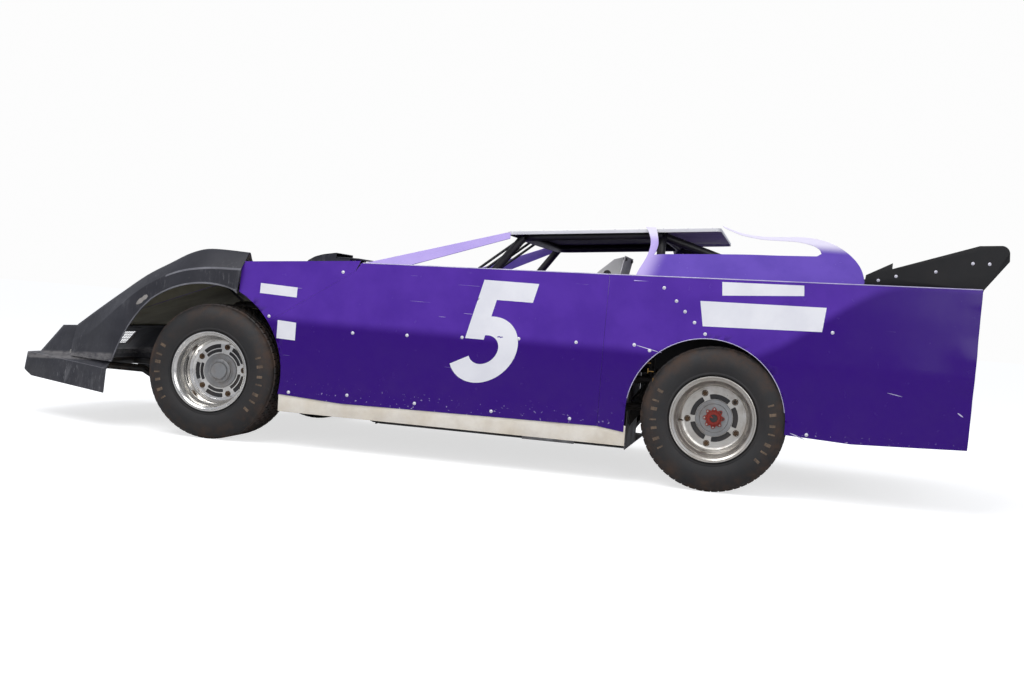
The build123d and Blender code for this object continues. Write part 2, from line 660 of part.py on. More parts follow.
def rear_axle():
    """Quick-change rear axle: a centre casing between two bells, two long tubes and their birdcages."""
    hub_face = REAR_WHEEL_Y + RIM_HALF - REAR_DISC_DEPTH
    snout_start = hub_face - DISC_THICKNESS - REAR_HUB_REACH - SEAT_GAP
    bell_end = AXLE_BELL_HALF + 60
    half = [
        (0, 0), (0, AXLE_BELL_RADIUS), (40, AXLE_BELL_RADIUS), (AXLE_BELL_HALF, 95), (bell_end, 60),
        (bell_end, AXLE_TUBE_RADIUS), (snout_start, AXLE_TUBE_RADIUS), (snout_start, AXLE_SNOUT_RADIUS),
        (hub_face + 20, AXLE_SNOUT_RADIUS), (hub_face + 20, 0),
    ]
    left = turned(half)
    gears = block((-230, 0), (-75, 75), (-120, 60))
    pinion = tube((100, 0, -PINION_DROP), (PINION_REACH, 0, -PINION_DROP), 70)
    casing = left + other_side(left) + gears + pinion
    for side in (-1, 1):
        pin_z = REAR_SHOCK_LOW - HUB_HEIGHT
        casing += block((-BIRDCAGE_HALF, BIRDCAGE_HALF), (side * (BIRDCAGE_Y - 22), side * (BIRDCAGE_Y + 22)),
                        (-BIRDCAGE_RISE, BIRDCAGE_RISE))
        casing += tube((-BIRDCAGE_HALF, side * BIRDCAGE_Y, pin_z),
                       (rear_shock_x() - REAR_AXLE - 16, side * BIRDCAGE_Y, pin_z),
                       SHOCK_PIN)
    return Pos(REAR_AXLE, 0, HUB_HEIGHT) * casing


def knuckle():
    """Left steering knuckle: upright on its kingpin, spindle, steering arm and brake caliper."""
    hub_face = FRONT_WHEEL_Y + RIM_HALF - FRONT_DISC_DEPTH
    hub_back = hub_face - DISC_THICKNESS - FRONT_HUB_REACH
    x, z = FRONT_AXLE, HUB_HEIGHT
    upright = block((x - 26, x + 26), (KINGPIN_Y - 20, hub_back - 5), (z - 100, z + 100))
    centre = Pos(x, z) * Circle(SPINDLE_RADIUS)
    spindle = extrude(wheel_plane(KINGPIN_Y) * Pos(x, -z) * Circle(SPINDLE_RADIUS), hub_face + 24 - KINGPIN_Y)
    reach = BALL_JOINT_HEIGHT + 14
    kingpin = tube((x, KINGPIN_Y, z - reach), (x, KINGPIN_Y, z + reach), KINGPIN_RADIUS)
    arm_low, arm_high = z - STEER_ARM_DROP, z - STEER_ARM_DROP + STEER_ARM_DEPTH
    arm = block((x, x + STEER_ARM), (KINGPIN_Y - 15, KINGPIN_Y + 15), (arm_low, arm_high))
    eye = tube((x + STEER_ARM, KINGPIN_Y, arm_low), (x + STEER_ARM, KINGPIN_Y, arm_high), 17)
    rotor_face = hub_back + ROTOR_INSET
    shell = block((x - 162, x - 88), (rotor_face - 30, rotor_face + ROTOR_THICKNESS + 26), (z - 62, z + 62))
    pocket = tube((x, rotor_face - 6, z), (x, rotor_face + ROTOR_THICKNESS + 6, z), ROTOR_RADIUS + 6)
    outer = tube((x, 0, z), (x, OUTSIDE_Y, z), ROTOR_RADIUS + 13)
    bracket = block((x - 150, x), (KINGPIN_Y - 20, rotor_face - 22), (z - 24, z + 24))
    return upright + spindle + kingpin + arm + eye + ((shell - pocket) & outer) + (bracket & outer)


def front_arms():
    """Upper and lower wishbones of the left side, each a pair of tubes and an eye round the kingpin."""
    pin_room = tube((FRONT_AXLE, KINGPIN_Y, 0), (FRONT_AXLE, KINGPIN_Y, OUTSIDE_Z), KINGPIN_RADIUS + SEAT_GAP)
    arms = []
    for height, pivot_height in ((BALL_JOINT_HEIGHT, UPPER_PIVOT_RISE),
                                 (-BALL_JOINT_HEIGHT, -LOWER_PIVOT_DROP)):
        tip = (FRONT_AXLE, KINGPIN_Y - 20, HUB_HEIGHT + height)
        arm = tube((FRONT_AXLE, KINGPIN_Y, tip[2] - 9), (FRONT_AXLE, KINGPIN_Y, tip[2] + 9), 24)
        for side in (-1, 1):
            pivot = (FRONT_AXLE + side * ARM_PIVOT_SPREAD, ARM_PIVOT_Y, HUB_HEIGHT + pivot_height)
            bush = tube((pivot[0] - 22, pivot[1], pivot[2]), (pivot[0] + 22, pivot[1], pivot[2]),
                        ARM_BUSH_RADIUS)
            arm += tube(pivot, tip, ARM_TUBE) + bush
        arms.append(arm - pin_room)
    share = (FRONT_SHOCK_LOW_Y - ARM_PIVOT_Y) / (KINGPIN_Y - 20 - ARM_PIVOT_Y)
    spread = ARM_PIVOT_SPREAD * (1 - share)
    x, y, z = front_shock_foot()
    arms[1] += tube((x - spread, y, z), (x + spread, y, z), SHOCK_PIN)
    return pack_solids(*arms)


def steering_rack():
    """Sliding rack bar with a tie rod and eye at each end, under the steering arms."""
    bar = tube((RACK_X, -KINGPIN_Y, RACK_HEIGHT), (RACK_X, KINGPIN_Y, RACK_HEIGHT), RACK_RADIUS)
    for side in (-1, 1):
        low, high = RACK_HEIGHT - RACK_EYE / 2, RACK_HEIGHT + RACK_EYE / 2
        bar += tube((RACK_X, side * KINGPIN_Y, low), (RACK_X, side * KINGPIN_Y, high), 16)
    return bar


def rack_housing():
    """Fixed tube round the rack bar, carried by the rails' tower plates."""
    ends = [(RACK_X, side * RACK_TUBE_HALF, RACK_HEIGHT) for side in (-1, 1)]
    return tube(*ends, RACK_TUBE_RADIUS) - tube(*ends, RACK_RADIUS + SEAT_GAP)


def rail(side):
    """One main rail: front clip, middle, and the kick over the rear axle."""
    y_front, y_mid, y_rear = side * RAIL_FRONT_Y, side * RAIL_MID_Y, side * RAIL_REAR_Y
    points = [
        (RAIL_FRONT_END, y_front, RAIL_FRONT_HEIGHT), (RAIL_NECK_FRONT, y_front, RAIL_FRONT_HEIGHT),
        (RAIL_NECK_REAR, y_mid, RAIL_MID_HEIGHT), (RAIL_KICK_FOOT, y_mid, RAIL_MID_HEIGHT),
        (RAIL_KICK_TOP, y_rear, RAIL_KICK_HEIGHT), (RAIL_KICK_END, y_rear, RAIL_KICK_HEIGHT),
        (RAIL_TAIL_START, y_rear, RAIL_REAR_HEIGHT), (RAIL_REAR_END, y_rear, RAIL_REAR_HEIGHT),
    ]
    solid = beam(points[0], points[1])
    for start, end in zip(points[1:-1], points[2:]):
        solid += beam(start, end) + Pos(*start) * Sphere(RAIL_WIDTH / 2)
    outer = RAIL_FRONT_Y + RAIL_WIDTH / 2
    tower = block((FRONT_AXLE - TOWER_HALF, FRONT_AXLE + TOWER_HALF),
                  (side * (outer - TOWER_PLATE), side * outer), TOWER_HEIGHTS)
    rack_hole = tube((RACK_X, side * (outer - 40), RACK_HEIGHT), (RACK_X, side * (outer + 40), RACK_HEIGHT),
                     RACK_TUBE_RADIUS)
    return solid + (tower - rack_hole)


def kick_point(z):
    """Middle of the left rail where it climbs over the rear axle, at a height."""
    share = (z - RAIL_MID_HEIGHT) / (RAIL_KICK_HEIGHT - RAIL_MID_HEIGHT)
    return (RAIL_KICK_FOOT + share * (RAIL_KICK_TOP - RAIL_KICK_FOOT),
            RAIL_MID_Y + share * (RAIL_REAR_Y - RAIL_MID_Y), z)


def cross_members(rails):
    """Round tubes between the rails."""
    middle = RAIL_NECK_REAR - RAIL_KICK_FOOT
    places = [
        # station, height, half length before the rails trim it
        (FRONT_AXLE + 355, RAIL_FRONT_HEIGHT, RAIL_FRONT_Y),
        (FRONT_AXLE - 250, RAIL_FRONT_HEIGHT, RAIL_FRONT_Y),
        (RAIL_NECK_REAR - 0.1 * middle, RAIL_MID_HEIGHT, RAIL_MID_Y),
        (RAIL_NECK_REAR - 0.55 * middle, RAIL_MID_HEIGHT, RAIL_MID_Y),
        (RAIL_NECK_REAR - 0.95 * middle, RAIL_MID_HEIGHT, RAIL_MID_Y),
        (RAIL_KICK_END, RAIL_KICK_HEIGHT, RAIL_REAR_Y),
        (RAIL_TAIL_START, RAIL_REAR_HEIGHT, RAIL_REAR_Y),
        (RAIL_REAR_END + 36, RAIL_REAR_HEIGHT, RAIL_REAR_Y),
    ]
    return [tube((x, -half, z), (x, half, z)) - rails for x, z, half in places]


def roof_line():
    """Roof's upper face in X and Z, rear to front."""
    return (ROOF_REAR, ROOF_REAR_HEIGHT), (ROOF_FRONT, ROOF_FRONT_HEIGHT)


def roof_height(x):
    """Height of the roof's upper face at a station."""
    return between(x, *roof_line())


def roof_pitch():
    """Angle by which the roof climbs to the rear."""
    return atan2(ROOF_REAR_HEIGHT - ROOF_FRONT_HEIGHT, ROOF_FRONT - ROOF_REAR)


def roof_tube_height(x):
    """Height of a roof tube's middle at a station, close under the roof."""
    return roof_height(x) - (SKIN + SEAT_GAP + CAGE_TUBE) / cos(roof_pitch())


def hoop(x, half, top, foot_half, foot, bend, knee=None):
    """Bent tube hoop across the car, its feet on the rails."""
    side = [(x, foot_half, foot)] + ([(x, half, knee)] if knee else []) + [(x, half, top)]
    return bent_tube(side + [(px, -py, pz) for px, py, pz in side[::-1]], bend)


def hoops():
    """Main hoop, and the hoops over the front and the rear axle with their shock ears."""
    main = hoop(HOOP_X, HOOP_HALF, roof_tube_height(HOOP_X), RAIL_MID_Y, RAIL_MID_HEIGHT + RAIL_DEPTH / 2,
                CAGE_BEND, HOOP_KNEE)
    front = hoop(FRONT_HOOP_X, FRONT_HOOP_HALF, FRONT_HOOP_HEIGHT, RAIL_FRONT_Y + 20,
                 RAIL_FRONT_HEIGHT + RAIL_DEPTH / 2,
                 CAGE_BEND - 10)
    rear = hoop(REAR_HOOP_X, REAR_HOOP_HALF, REAR_HOOP_HEIGHT, RAIL_REAR_Y,
                RAIL_KICK_HEIGHT + RAIL_DEPTH / 2, CAGE_BEND - 10)
    for side in (-1, 1):
        front += shock_ear(FRONT_HOOP_X, side, FRONT_HOOP_HALF - 40, front_shock_top())
        rear += shock_ear(REAR_HOOP_X, side, REAR_HOOP_HALF - 40, rear_shock_top())
    return [main, front, rear]


def shock_ear(hoop_x, side, inner_y, eye):
    """Plate on a hoop's front, and the pin that a shock's top eye hangs on."""
    x, y, z = eye
    front = hoop_x + CAGE_TUBE
    plate = block((front - 4, front + SHOCK_EAR - 4), (side * inner_y, side * (y + SHOCK_EYE)),
                  (z - SHOCK_EYE, z + 30))
    pin = tube((front, side * y, z), (x + SHOCK_EYE_HALF + 4, side * y, z), SHOCK_PIN)
    return plate + pin


def front_shock_foot():
    """Lower eye of the left front shock, on the lower wishbone's cross pin."""
    share = (FRONT_SHOCK_LOW_Y - ARM_PIVOT_Y) / (KINGPIN_Y - 20 - ARM_PIVOT_Y)
    rise = LOWER_PIVOT_DROP - BALL_JOINT_HEIGHT
    return FRONT_AXLE, FRONT_SHOCK_LOW_Y, HUB_HEIGHT - LOWER_PIVOT_DROP + share * rise


def front_shock_top():
    """Upper eye of the left front shock, in front of the front hoop."""
    return FRONT_AXLE, FRONT_SHOCK_TOP_Y, FRONT_HOOP_HEIGHT - 60


def rear_shock_x():
    """Station of both rear shocks, in front of the rear hoop."""
    return REAR_HOOP_X + CAGE_TUBE + SHOCK_EAR + SHOCK_EYE_HALF


def rear_shock_top():
    """Upper eye of the left rear shock."""
    return rear_shock_x(), REAR_SHOCK_TOP_Y, REAR_HOOP_HEIGHT - 40


def coil_over(low, high, spring_from, spring_to):
    """Shock with its spring between two seats, an eye at each end; the coils are ridges round the body."""
    run = Vector(*high) - Vector(*low)
    length = run.length
    start, end = spring_from * length, spring_to * length
    pitch = (end - start) / SPRING_COILS
    profile = [(0, 0), (SHOCK_ROD, 0), (SHOCK_ROD, start - 12), (SPRING_RADIUS, start - 12),
               (SPRING_RADIUS, start)]
    for index in range(SPRING_COILS):
        profile += [(SPRING_RADIUS - 10, start + pitch * (index + 0.25)),
                    (SPRING_RADIUS, start + pitch * (index + 0.75))]
    profile += [(SPRING_RADIUS, end), (SPRING_RADIUS, end + 12), (SHOCK_BODY, end + 12),
                (SHOCK_BODY, length - 20),
                (SHOCK_ROD, length - 20), (SHOCK_ROD, length), (0, length)]
    body = revolve(Plane.XZ * make_face(Polyline(*profile, close=True)), Axis.Z)
    shock = Plane(origin=low, z_dir=run) * body
    for x, y, z in (low, high):
        ends = [(x + side * SHOCK_EYE_HALF, y, z) for side in (-1, 1)]
        shock = (shock + tube(*ends, SHOCK_EYE)) - tube(*ends, SHOCK_PIN + SEAT_GAP)
    return shock


def coil_overs():
    """Front and rear coil-over of the left side."""
    front = coil_over(front_shock_foot(), front_shock_top(), 0.2, 0.62)
    rear = coil_over((rear_shock_x(), BIRDCAGE_Y, REAR_SHOCK_LOW), rear_shock_top(), 0.32, 0.72)
    return pack_solids(front, rear)


def rear_links(blocked):
    """Two trailing links of the left side, from the birdcage to the climbing rail."""
    links = []
    for start_y, start_z, end_z in ((BIRDCAGE_Y - 20, HUB_HEIGHT - 55, HUB_HEIGHT - 35),
                                    (BIRDCAGE_Y - 10, HUB_HEIGHT + 75, HUB_HEIGHT + 75)):
        x, y, z = kick_point(end_z)
        links.append(largest(tube((REAR_AXLE, start_y, start_z), (x, y - 8, z), LINK_RADIUS) - blocked))
    return pack_solids(*links)


def halo():
    """Flat bent tube ring under the roof, ahead of the hoop."""
    points = [(HOOP_X, HALO_HALF, roof_tube_height(HOOP_X)),
              (HALO_FRONT, HALO_HALF, roof_tube_height(HALO_FRONT))]
    return bent_tube(points + [(x, -y, z) for x, y, z in points[::-1]], CAGE_BEND)


def leg_point(z):
    """Point on the left front leg's lower run, at a height."""
    top, foot = (LEG_BEND_X, HOOP_HALF, DOOR_FRONT_HEIGHT + 8), (LEG_FOOT_X, RAIL_MID_Y, RAIL_MID_HEIGHT + 30)
    share = (z - foot[2]) / (top[2] - foot[2])
    return (foot[0] + share * (top[0] - foot[0]), foot[1] + share * (top[1] - foot[1]), z)


def cage_legs():
    """Left front leg with the upper rail that runs on to the front clip, and left rear leg."""
    front = bent_tube([(HALO_FRONT, HALO_HALF - 4, roof_height(HALO_FRONT) - 30),
                       leg_point(DOOR_FRONT_HEIGHT + 8),
                       leg_point(RAIL_MID_HEIGHT + 30)], 60)
    height = FRONT_HOOP_HEIGHT - 6
    upper = bent_tube([leg_point(height), (FRONT_HOOP_X, FRONT_HOOP_HALF, height),
                       (FRONT_HOOP_X + 160, FRONT_HOOP_HALF - 25, height - 5),
                       (RAIL_FRONT_END - 10, RAIL_FRONT_Y, RAIL_FRONT_HEIGHT + 40)], 60, UPPER_RAIL_RADIUS)
    bend_x = REAR_AXLE - 301
    rear = bent_tube([(HOOP_X, HALO_HALF - 40, roof_tube_height(HOOP_X) - 5),
                      (bend_x, RAIL_REAR_Y + 30, deck_height(bend_x) + 20),
                      (RAIL_TAIL_START, RAIL_REAR_Y, RAIL_REAR_HEIGHT)], CAGE_BEND)
    return front + upper, rear


def door_bars():
    """Left door bars, bowed out between the hoop and the front leg."""
    bars = []
    for height in DOOR_BAR_HEIGHTS:
        share = min((height - RAIL_MID_HEIGHT) / (HOOP_KNEE - RAIL_MID_HEIGHT), 1)
        hoop_y = RAIL_MID_Y + share * (HOOP_HALF - RAIL_MID_Y)
        points = [(HOOP_X, hoop_y, height), (HOOP_X + 125, DOOR_BAR_Y, height),
                  (ROOF_FRONT, DOOR_BAR_Y, height), leg_point(height)]
        bars.append(bent_tube(points, 60, DOOR_BAR_RADIUS))
    return bars


def screen_bars(blocked):
    """Thin stone guard bars ahead of the driver, from the roof ring down to the deck."""
    foot_x = HALO_FRONT + 256
    bars = []
    for y in SCREEN_BAR_PLACES:
        bar = tube((HALO_FRONT, y, roof_tube_height(HALO_FRONT)), (foot_x, y, deck_height(foot_x)),
                   SCREEN_BAR_RADIUS)
        bars.append(largest(bar - blocked))
    return pack_solids(*bars)


def braces(blocked, room):
    """Short stays of the left side that carry the sheet body, trimmed by what they meet."""
    bar_top, outer, radius = DOOR_BAR_HEIGHTS[-1], BEND_Y + 18, 9
    stays = [
        # start and end
        ((HOOP_X + 245, DOOR_BAR_Y, bar_top), (HOOP_X + 245, outer, bar_top)),
        ((ROOF_FRONT - 112, DOOR_BAR_Y, bar_top), (ROOF_FRONT - 112, outer, bar_top)),
        ((RAIL_REAR_END + 9, RAIL_REAR_Y, RAIL_REAR_HEIGHT),
         (RAIL_REAR_END + 9, outer, RAIL_REAR_HEIGHT + 240)),
        ((RAIL_KICK_END - 71, RAIL_REAR_Y, RAIL_KICK_HEIGHT - 55),
         (RAIL_KICK_END - 131, outer, RAIL_KICK_HEIGHT + 140)),
    ]
    solids = [largest((tube(start, end, radius) - blocked) & room) for start, end in stays]
    apex = (FRONT_HOOP_X + 6, outer, FRONT_HOOP_HEIGHT + 115)
    legs = [tube((FRONT_HOOP_X + x, FRONT_HOOP_HALF - 8, FRONT_HOOP_HEIGHT), apex, radius - 2)
            for x in (-110, 110)]
    solids.append(largest(legs[0] + legs[1] - blocked))
    return pack_solids(*solids)


def roof():
    """Flat roof sheet with a folded lip all round, pitched up to the rear."""
    pitch = roof_pitch()
    length = (ROOF_FRONT - ROOF_REAR) / cos(pitch)
    place = Plane(origin=((ROOF_FRONT + ROOF_REAR) / 2, 0, (ROOF_FRONT_HEIGHT + ROOF_REAR_HEIGHT) / 2),
                  x_dir=(ROOF_REAR - ROOF_FRONT, 0, ROOF_REAR_HEIGHT - ROOF_FRONT_HEIGHT),
                  z_dir=(ROOF_REAR_HEIGHT - ROOF_FRONT_HEIGHT, 0, ROOF_FRONT - ROOF_REAR))
    outer = RectangleRounded(length, 2 * ROOF_HALF, ROOF_CORNER)
    inner = RectangleRounded(length - 2 * SKIN, 2 * (ROOF_HALF - SKIN), ROOF_CORNER - SKIN)
    return extrude(place * outer, -ROOF_LIP) - extrude(place.offset(-SKIN) * inner, -ROOF_LIP)


def slope_plane(low, high):
    """Plane on a slanted side, X along the car and v up the slope, from (y, z) low to (y, z) high."""
    rise = Vector(0, high[0] - low[0], high[1] - low[1]).normalized()
    return Plane(origin=(0, low[0], low[1]), x_dir=(1, 0, 0), z_dir=Vector(1, 0, 0).cross(rise))


def slope_length(low, high):
    """Length of the slope between two (y, z) points."""
    return hypot(high[0] - low[0], high[1] - low[1])


def windscreen_post():
    """Left front post: a tapered sheet from the deck up to the roof corner."""
    low, high = (BELT_Y - 32, FENDER_REAR_HEIGHT), (ROOF_HALF - 4, ROOF_FRONT_HEIGHT - 10)
    outline = [(DOOR_FRONT + 20, DOOR_FRONT_HEIGHT - 10), (DOOR_FRONT - 205, DOOR_FRONT_HEIGHT - 10),
               (ROOF_FRONT - 26, ROOF_FRONT_HEIGHT - 39), (ROOF_FRONT - 18, ROOF_FRONT_HEIGHT - 8),
               (ROOF_FRONT + 2, ROOF_FRONT_HEIGHT - 8)]
    stretch = slope_length(low, high) / (high[1] - low[1])
    face = make_face(Polyline(*[(x, (z - low[1]) * stretch) for x, z in outline], close=True))
    return extrude(slope_plane(low, high) * face, -SKIN)


# Sail panel outline: x past the rear axle, share of the rise from the belt to the roof
SAIL_POST_FRONT = [(461.0, -0.15), (453.0, -0.08), (396.0, 0.35), (419.0, 0.954)]
SAIL_POST_REAR = [(361.0, 0.977), (324.0, 0.74), (337.0, 0.469)]
SAIL_PANEL_TOP = [(239.0, 0.435), (-101.0, 0.5), (-401.0, 0.608), (-453.0, 0.723)]
SAIL_STRIP_UNDER = [(-401.0, 0.862), (-261.0, 0.908), (-101.0, 0.931), (53.0, 1.046)]
SAIL_STRIP_TOP = [(53.0, 1.077), (-81.0, 1.023), (-201.0, 0.977), (-361.0, 0.985)]
SAIL_TAIL = [(-361.0, 0.985), (-576.0, 0.745), (-661.0, 0.069)]
SAIL_FOOT = (-671.0, -0.15)


def sail(with_strip):
    """Left sail panel: front post, lower panel and, where asked for, the strip that runs back from the roof."""
    low, high = (BELT_Y - 24, QUARTER_FRONT_HEIGHT + 10), (ROOF_HALF + 2, ROOF_REAR_HEIGHT - 16)
    length = slope_length(low, high)

    def place(points):
        return [(REAR_AXLE + x, share * length) for x, share in points]

    foot, top = place([SAIL_FOOT])[0], place(SAIL_PANEL_TOP)
    edges = [Line(*place(SAIL_POST_FRONT[:2])), ThreePointArc(*place(SAIL_POST_FRONT[1:])),
             Line(place(SAIL_POST_FRONT)[-1],
                  place(SAIL_POST_REAR)[0]), ThreePointArc(*place(SAIL_POST_REAR)),
             Polyline(place(SAIL_POST_REAR)[-1], *top)]
    if with_strip:
        tail = place(SAIL_TAIL)
        edges += [Polyline(top[-1], *place(SAIL_STRIP_UNDER), *place(SAIL_STRIP_TOP)), ThreePointArc(*tail),
                  Line(tail[-1], foot)]
    else:
        edges += [Polyline(top[-1], place(SAIL_TAIL)[-1], foot)]
    edges.append(Line(foot, place(SAIL_POST_FRONT)[0]))
    return extrude(slope_plane(low, high) * make_face(edges), -SKIN)


def deck_line():
    """Upper face of the deck in X and Z, cowl to tail."""
    return [
        (HOOD_REAR - PANEL_GAP, FENDER_REAR_HEIGHT - DECK_DROP), (QUARTER_FRONT,
                                                                  QUARTER_FRONT_HEIGHT - DECK_DROP),
        (BODY_REAR, BODY_REAR_HEIGHT - DECK_DROP),
    ]


def deck_height(x):
    """Height of the deck's upper face at a station."""
    front, middle, rear = deck_line()
    return between(x, front, middle) if x > middle[0] else between(x, middle, rear)


def below_deck(depth=0.0):
    """Everything under the deck's upper face, or under a plane lower by a depth."""
    line = [(x, z - depth) for x, z in deck_line()]
    rear = line[-1][0] - 200
    return across_polygon([*line, (rear, line[-1][1]), (rear, 0), (line[0][0], 0)], -OUTSIDE_Y, OUTSIDE_Y)


def deck(room, tubes):
    """Full-width deck sheet, open over the driver."""
    sheet = across_polygon(strip(deck_line(), -SKIN), -OUTSIDE_Y, OUTSIDE_Y) & room
    opening = block((COCKPIT_REAR, COCKPIT_FRONT), (COCKPIT_RIGHT + SKIN, COCKPIT_LEFT),
                    (HOOP_KNEE, OUTSIDE_Z))
    return sheet - opening - tubes


def fender_top(room):
    """Flat top of the left fender, from the hood's edge to the side sheet."""
    x_high = FENDER_FRONT + 30
    line = [*hood_line()[:2], (x_high, hood_height(x_high))]
    return across_polygon(strip(line, SKIN), HOOD_HALF + SEAT_GAP, OUTSIDE_Y) & room


def hood():
    """Hood sheet from the cowl down to the nose, with the air box opening."""
    sheet = across_polygon(strip(hood_line(), SKIN), SEAT_GAP - HOOD_HALF, HOOD_HALF - SEAT_GAP)
    return sheet - block((INTAKE_REAR - 20, INTAKE_FRONT + 10), (-AIR_BOX_HALF, AIR_BOX_HALF),
                         (ENGINE_TOP, OUTSIDE_Z))


def hood_scoop():
    """Low cover over the air box, open to the rear."""
    rear, front = INTAKE_REAR - 38, INTAKE_FRONT + 48
    outer = [(front, 49), (front - 78, 91), (front - 156, 109), (rear, 85)]
    inner = [(front - 8, 45), (front - 82, 85), (front - 158, 103), (rear - 12, 79)]
    base = FENDER_FRONT_HEIGHT
    shells = []
    for line, half in ((outer, 185), (inner, 181)):
        points = [(line[0][0], base - 60), *[(x, base + z) for x, z in line], (line[-1][0], base - 60)]
        shells.append(across_polygon(points, -half, half))
    below = across_polygon([*hood_line(), (HOOD_FRONT, 0), (HOOD_REAR, 0)], -HOOD_HALF, HOOD_HALF)
    return shells[0] - shells[1] - below


def floor_pan(rails):
    """Flat sheet under the cockpit."""
    half = RAIL_MID_Y + RAIL_WIDTH / 2
    return block((COCKPIT_REAR, FIREWALL_X), (-half, half), (FLOOR_TOP - SKIN, FLOOR_TOP)) - rails


def firewall(cuts):
    """Upright sheet between engine and driver, from the floor to the deck."""
    sheet = block((FIREWALL_X, FIREWALL_X + SKIN), (-HOOD_HALF, HOOD_HALF), (FLOOR_TOP, OUTSIDE_Z))
    return largest((sheet & below_deck(SKIN + SEAT_GAP)) - cuts)


def cockpit_walls(cuts):
    """Right-hand wall beside the driver and the bulkhead behind the seat."""
    side = block((COCKPIT_REAR, FIREWALL_X), (COCKPIT_RIGHT, COCKPIT_RIGHT + SKIN), (FLOOR_TOP, OUTSIDE_Z))
    rear = block((COCKPIT_REAR - SKIN, COCKPIT_REAR), (COCKPIT_RIGHT, HOOP_HALF + CAGE_TUBE),
                 (FLOOR_TOP, OUTSIDE_Z))
    return ((side + rear) & below_deck(SKIN + SEAT_GAP)) - cuts


def rear_tub():
    """Upright inner sheet beside the left rear tyre, hung from the deck."""
    inner = HOOP_HALF + CAGE_TUBE + 6
    sheet = block((REAR_AXLE - 420, HOOP_X - CAGE_TUBE - SEAT_GAP), (inner, inner + SKIN),
                  (RAIL_KICK_HEIGHT + 60, OUTSIDE_Z))
    return sheet & below_deck(SKIN + SEAT_GAP)


def engine_block():
    """Engine as one plain block with its intake, on a mounting plate between the front rails."""
    foot = RAIL_FRONT_HEIGHT + CAGE_TUBE + SEAT_GAP
    body = block((ENGINE_REAR, ENGINE_FRONT), (-ENGINE_HALF, ENGINE_HALF), (foot, ENGINE_TOP))
    intake = block((INTAKE_REAR, INTAKE_FRONT), (-AIR_BOX_HALF + 30, AIR_BOX_HALF - 30),
                   (ENGINE_TOP, INTAKE_TOP))
    inner = RAIL_FRONT_Y - RAIL_WIDTH / 2
    plate = block((ENGINE_FRONT, ENGINE_FRONT + 8), (-inner, inner),
                  (RAIL_FRONT_HEIGHT - 30, CRANK_HEIGHT + 120))
    return body + intake + plate


def transmission():
    """Gearbox casing behind the engine, and the tapered bell that joins them."""
    bell_end = ENGINE_REAR - BELL_LENGTH
    bell = loft([Plane(origin=(ENGINE_REAR, 0, CRANK_HEIGHT), z_dir=(-1, 0, 0)) * Circle(200),
                 Plane(origin=(bell_end, 0, CRANK_HEIGHT - 10), z_dir=(-1, 0, 0)) * Circle(105)])
    return bell + tube((bell_end, 0, CRANK_HEIGHT - 10), (bell_end - GEARBOX_LENGTH, 0, CRANK_HEIGHT - 15),
                       88)


def drive_shaft():
    """Propeller shaft from the gearbox to the rear axle's pinion."""
    start = ENGINE_REAR - BELL_LENGTH - GEARBOX_LENGTH
    return tube((start, 0, CRANK_HEIGHT - 15), (REAR_AXLE + PINION_REACH, 0, HUB_HEIGHT - PINION_DROP),
                SHAFT_RADIUS)


def exhaust():
    """Left exhaust pipe from the engine's side, under the door, out ahead of the rear wheel."""
    port_x = FRONT_AXLE - 267
    low, side = RAIL_MID_HEIGHT + 50, RAIL_MID_Y + 170
    return bent_tube([(port_x, ENGINE_HALF, 420), (port_x, ENGINE_HALF + 150, 420),
                      (port_x - 290, side - 80, 330),
                      (DOOR_FRONT - 140, side, low), (REAR_AXLE + 739, side, low)], 80, 36)


def radiator():
    """Radiator core on the front cross member."""
    foot = RAIL_FRONT_HEIGHT + CAGE_TUBE + SEAT_GAP
    return block((FRONT_AXLE + 330, FRONT_AXLE + 385), (-290, 290), (foot, 610))


def fuel_cell():
    """Fuel cell box on the two rear cross members."""
    foot = RAIL_REAR_HEIGHT + CAGE_TUBE + SEAT_GAP
    return block((RAIL_REAR_END + 10, RAIL_TAIL_START + 40), (-320, 320), (foot, foot + 300))


def seat():
    """Formed aluminium seat: pan and back, side wings, head wings and feet."""
    x, z = COCKPIT_REAR, FLOOR_TOP
    back_line = [(x + 610, z + 202), (x + 240, z + 142), (x + 80, z + 1006)]
    shell = across_polygon(strip(back_line, SEAT_WALL), SEAT_Y - SEAT_HALF, SEAT_Y + SEAT_HALF)
    wing = [back_line[0], back_line[1], (x + 140, z + 680), (x + 280, z + 632), (x + 350, z + 342),
            (x + 600, z + 292)]
    head = [(x + 120, z + 792), (x + 240, z + 802), (x + 228, z + 911), (x + 143, z + 987),
            (x + 80, z + 1006)]
    foot = [(x + 270, z), (x + 550, z), (x + 550, z + 194), (x + 270, z + 150)]
    for side in (-1, 1):
        edge = SEAT_Y + side * SEAT_HALF
        inner = edge - side * SEAT_WALL
        cheek = SEAT_Y + side * HEAD_WING_HALF
        shell += across_polygon(wing, min(edge, inner), max(edge, inner))
        shell += across_polygon(foot, min(edge, inner), max(edge, inner))
        shell += across_polygon(head, cheek - SEAT_WALL / 2, cheek + SEAT_WALL / 2)
    return shell


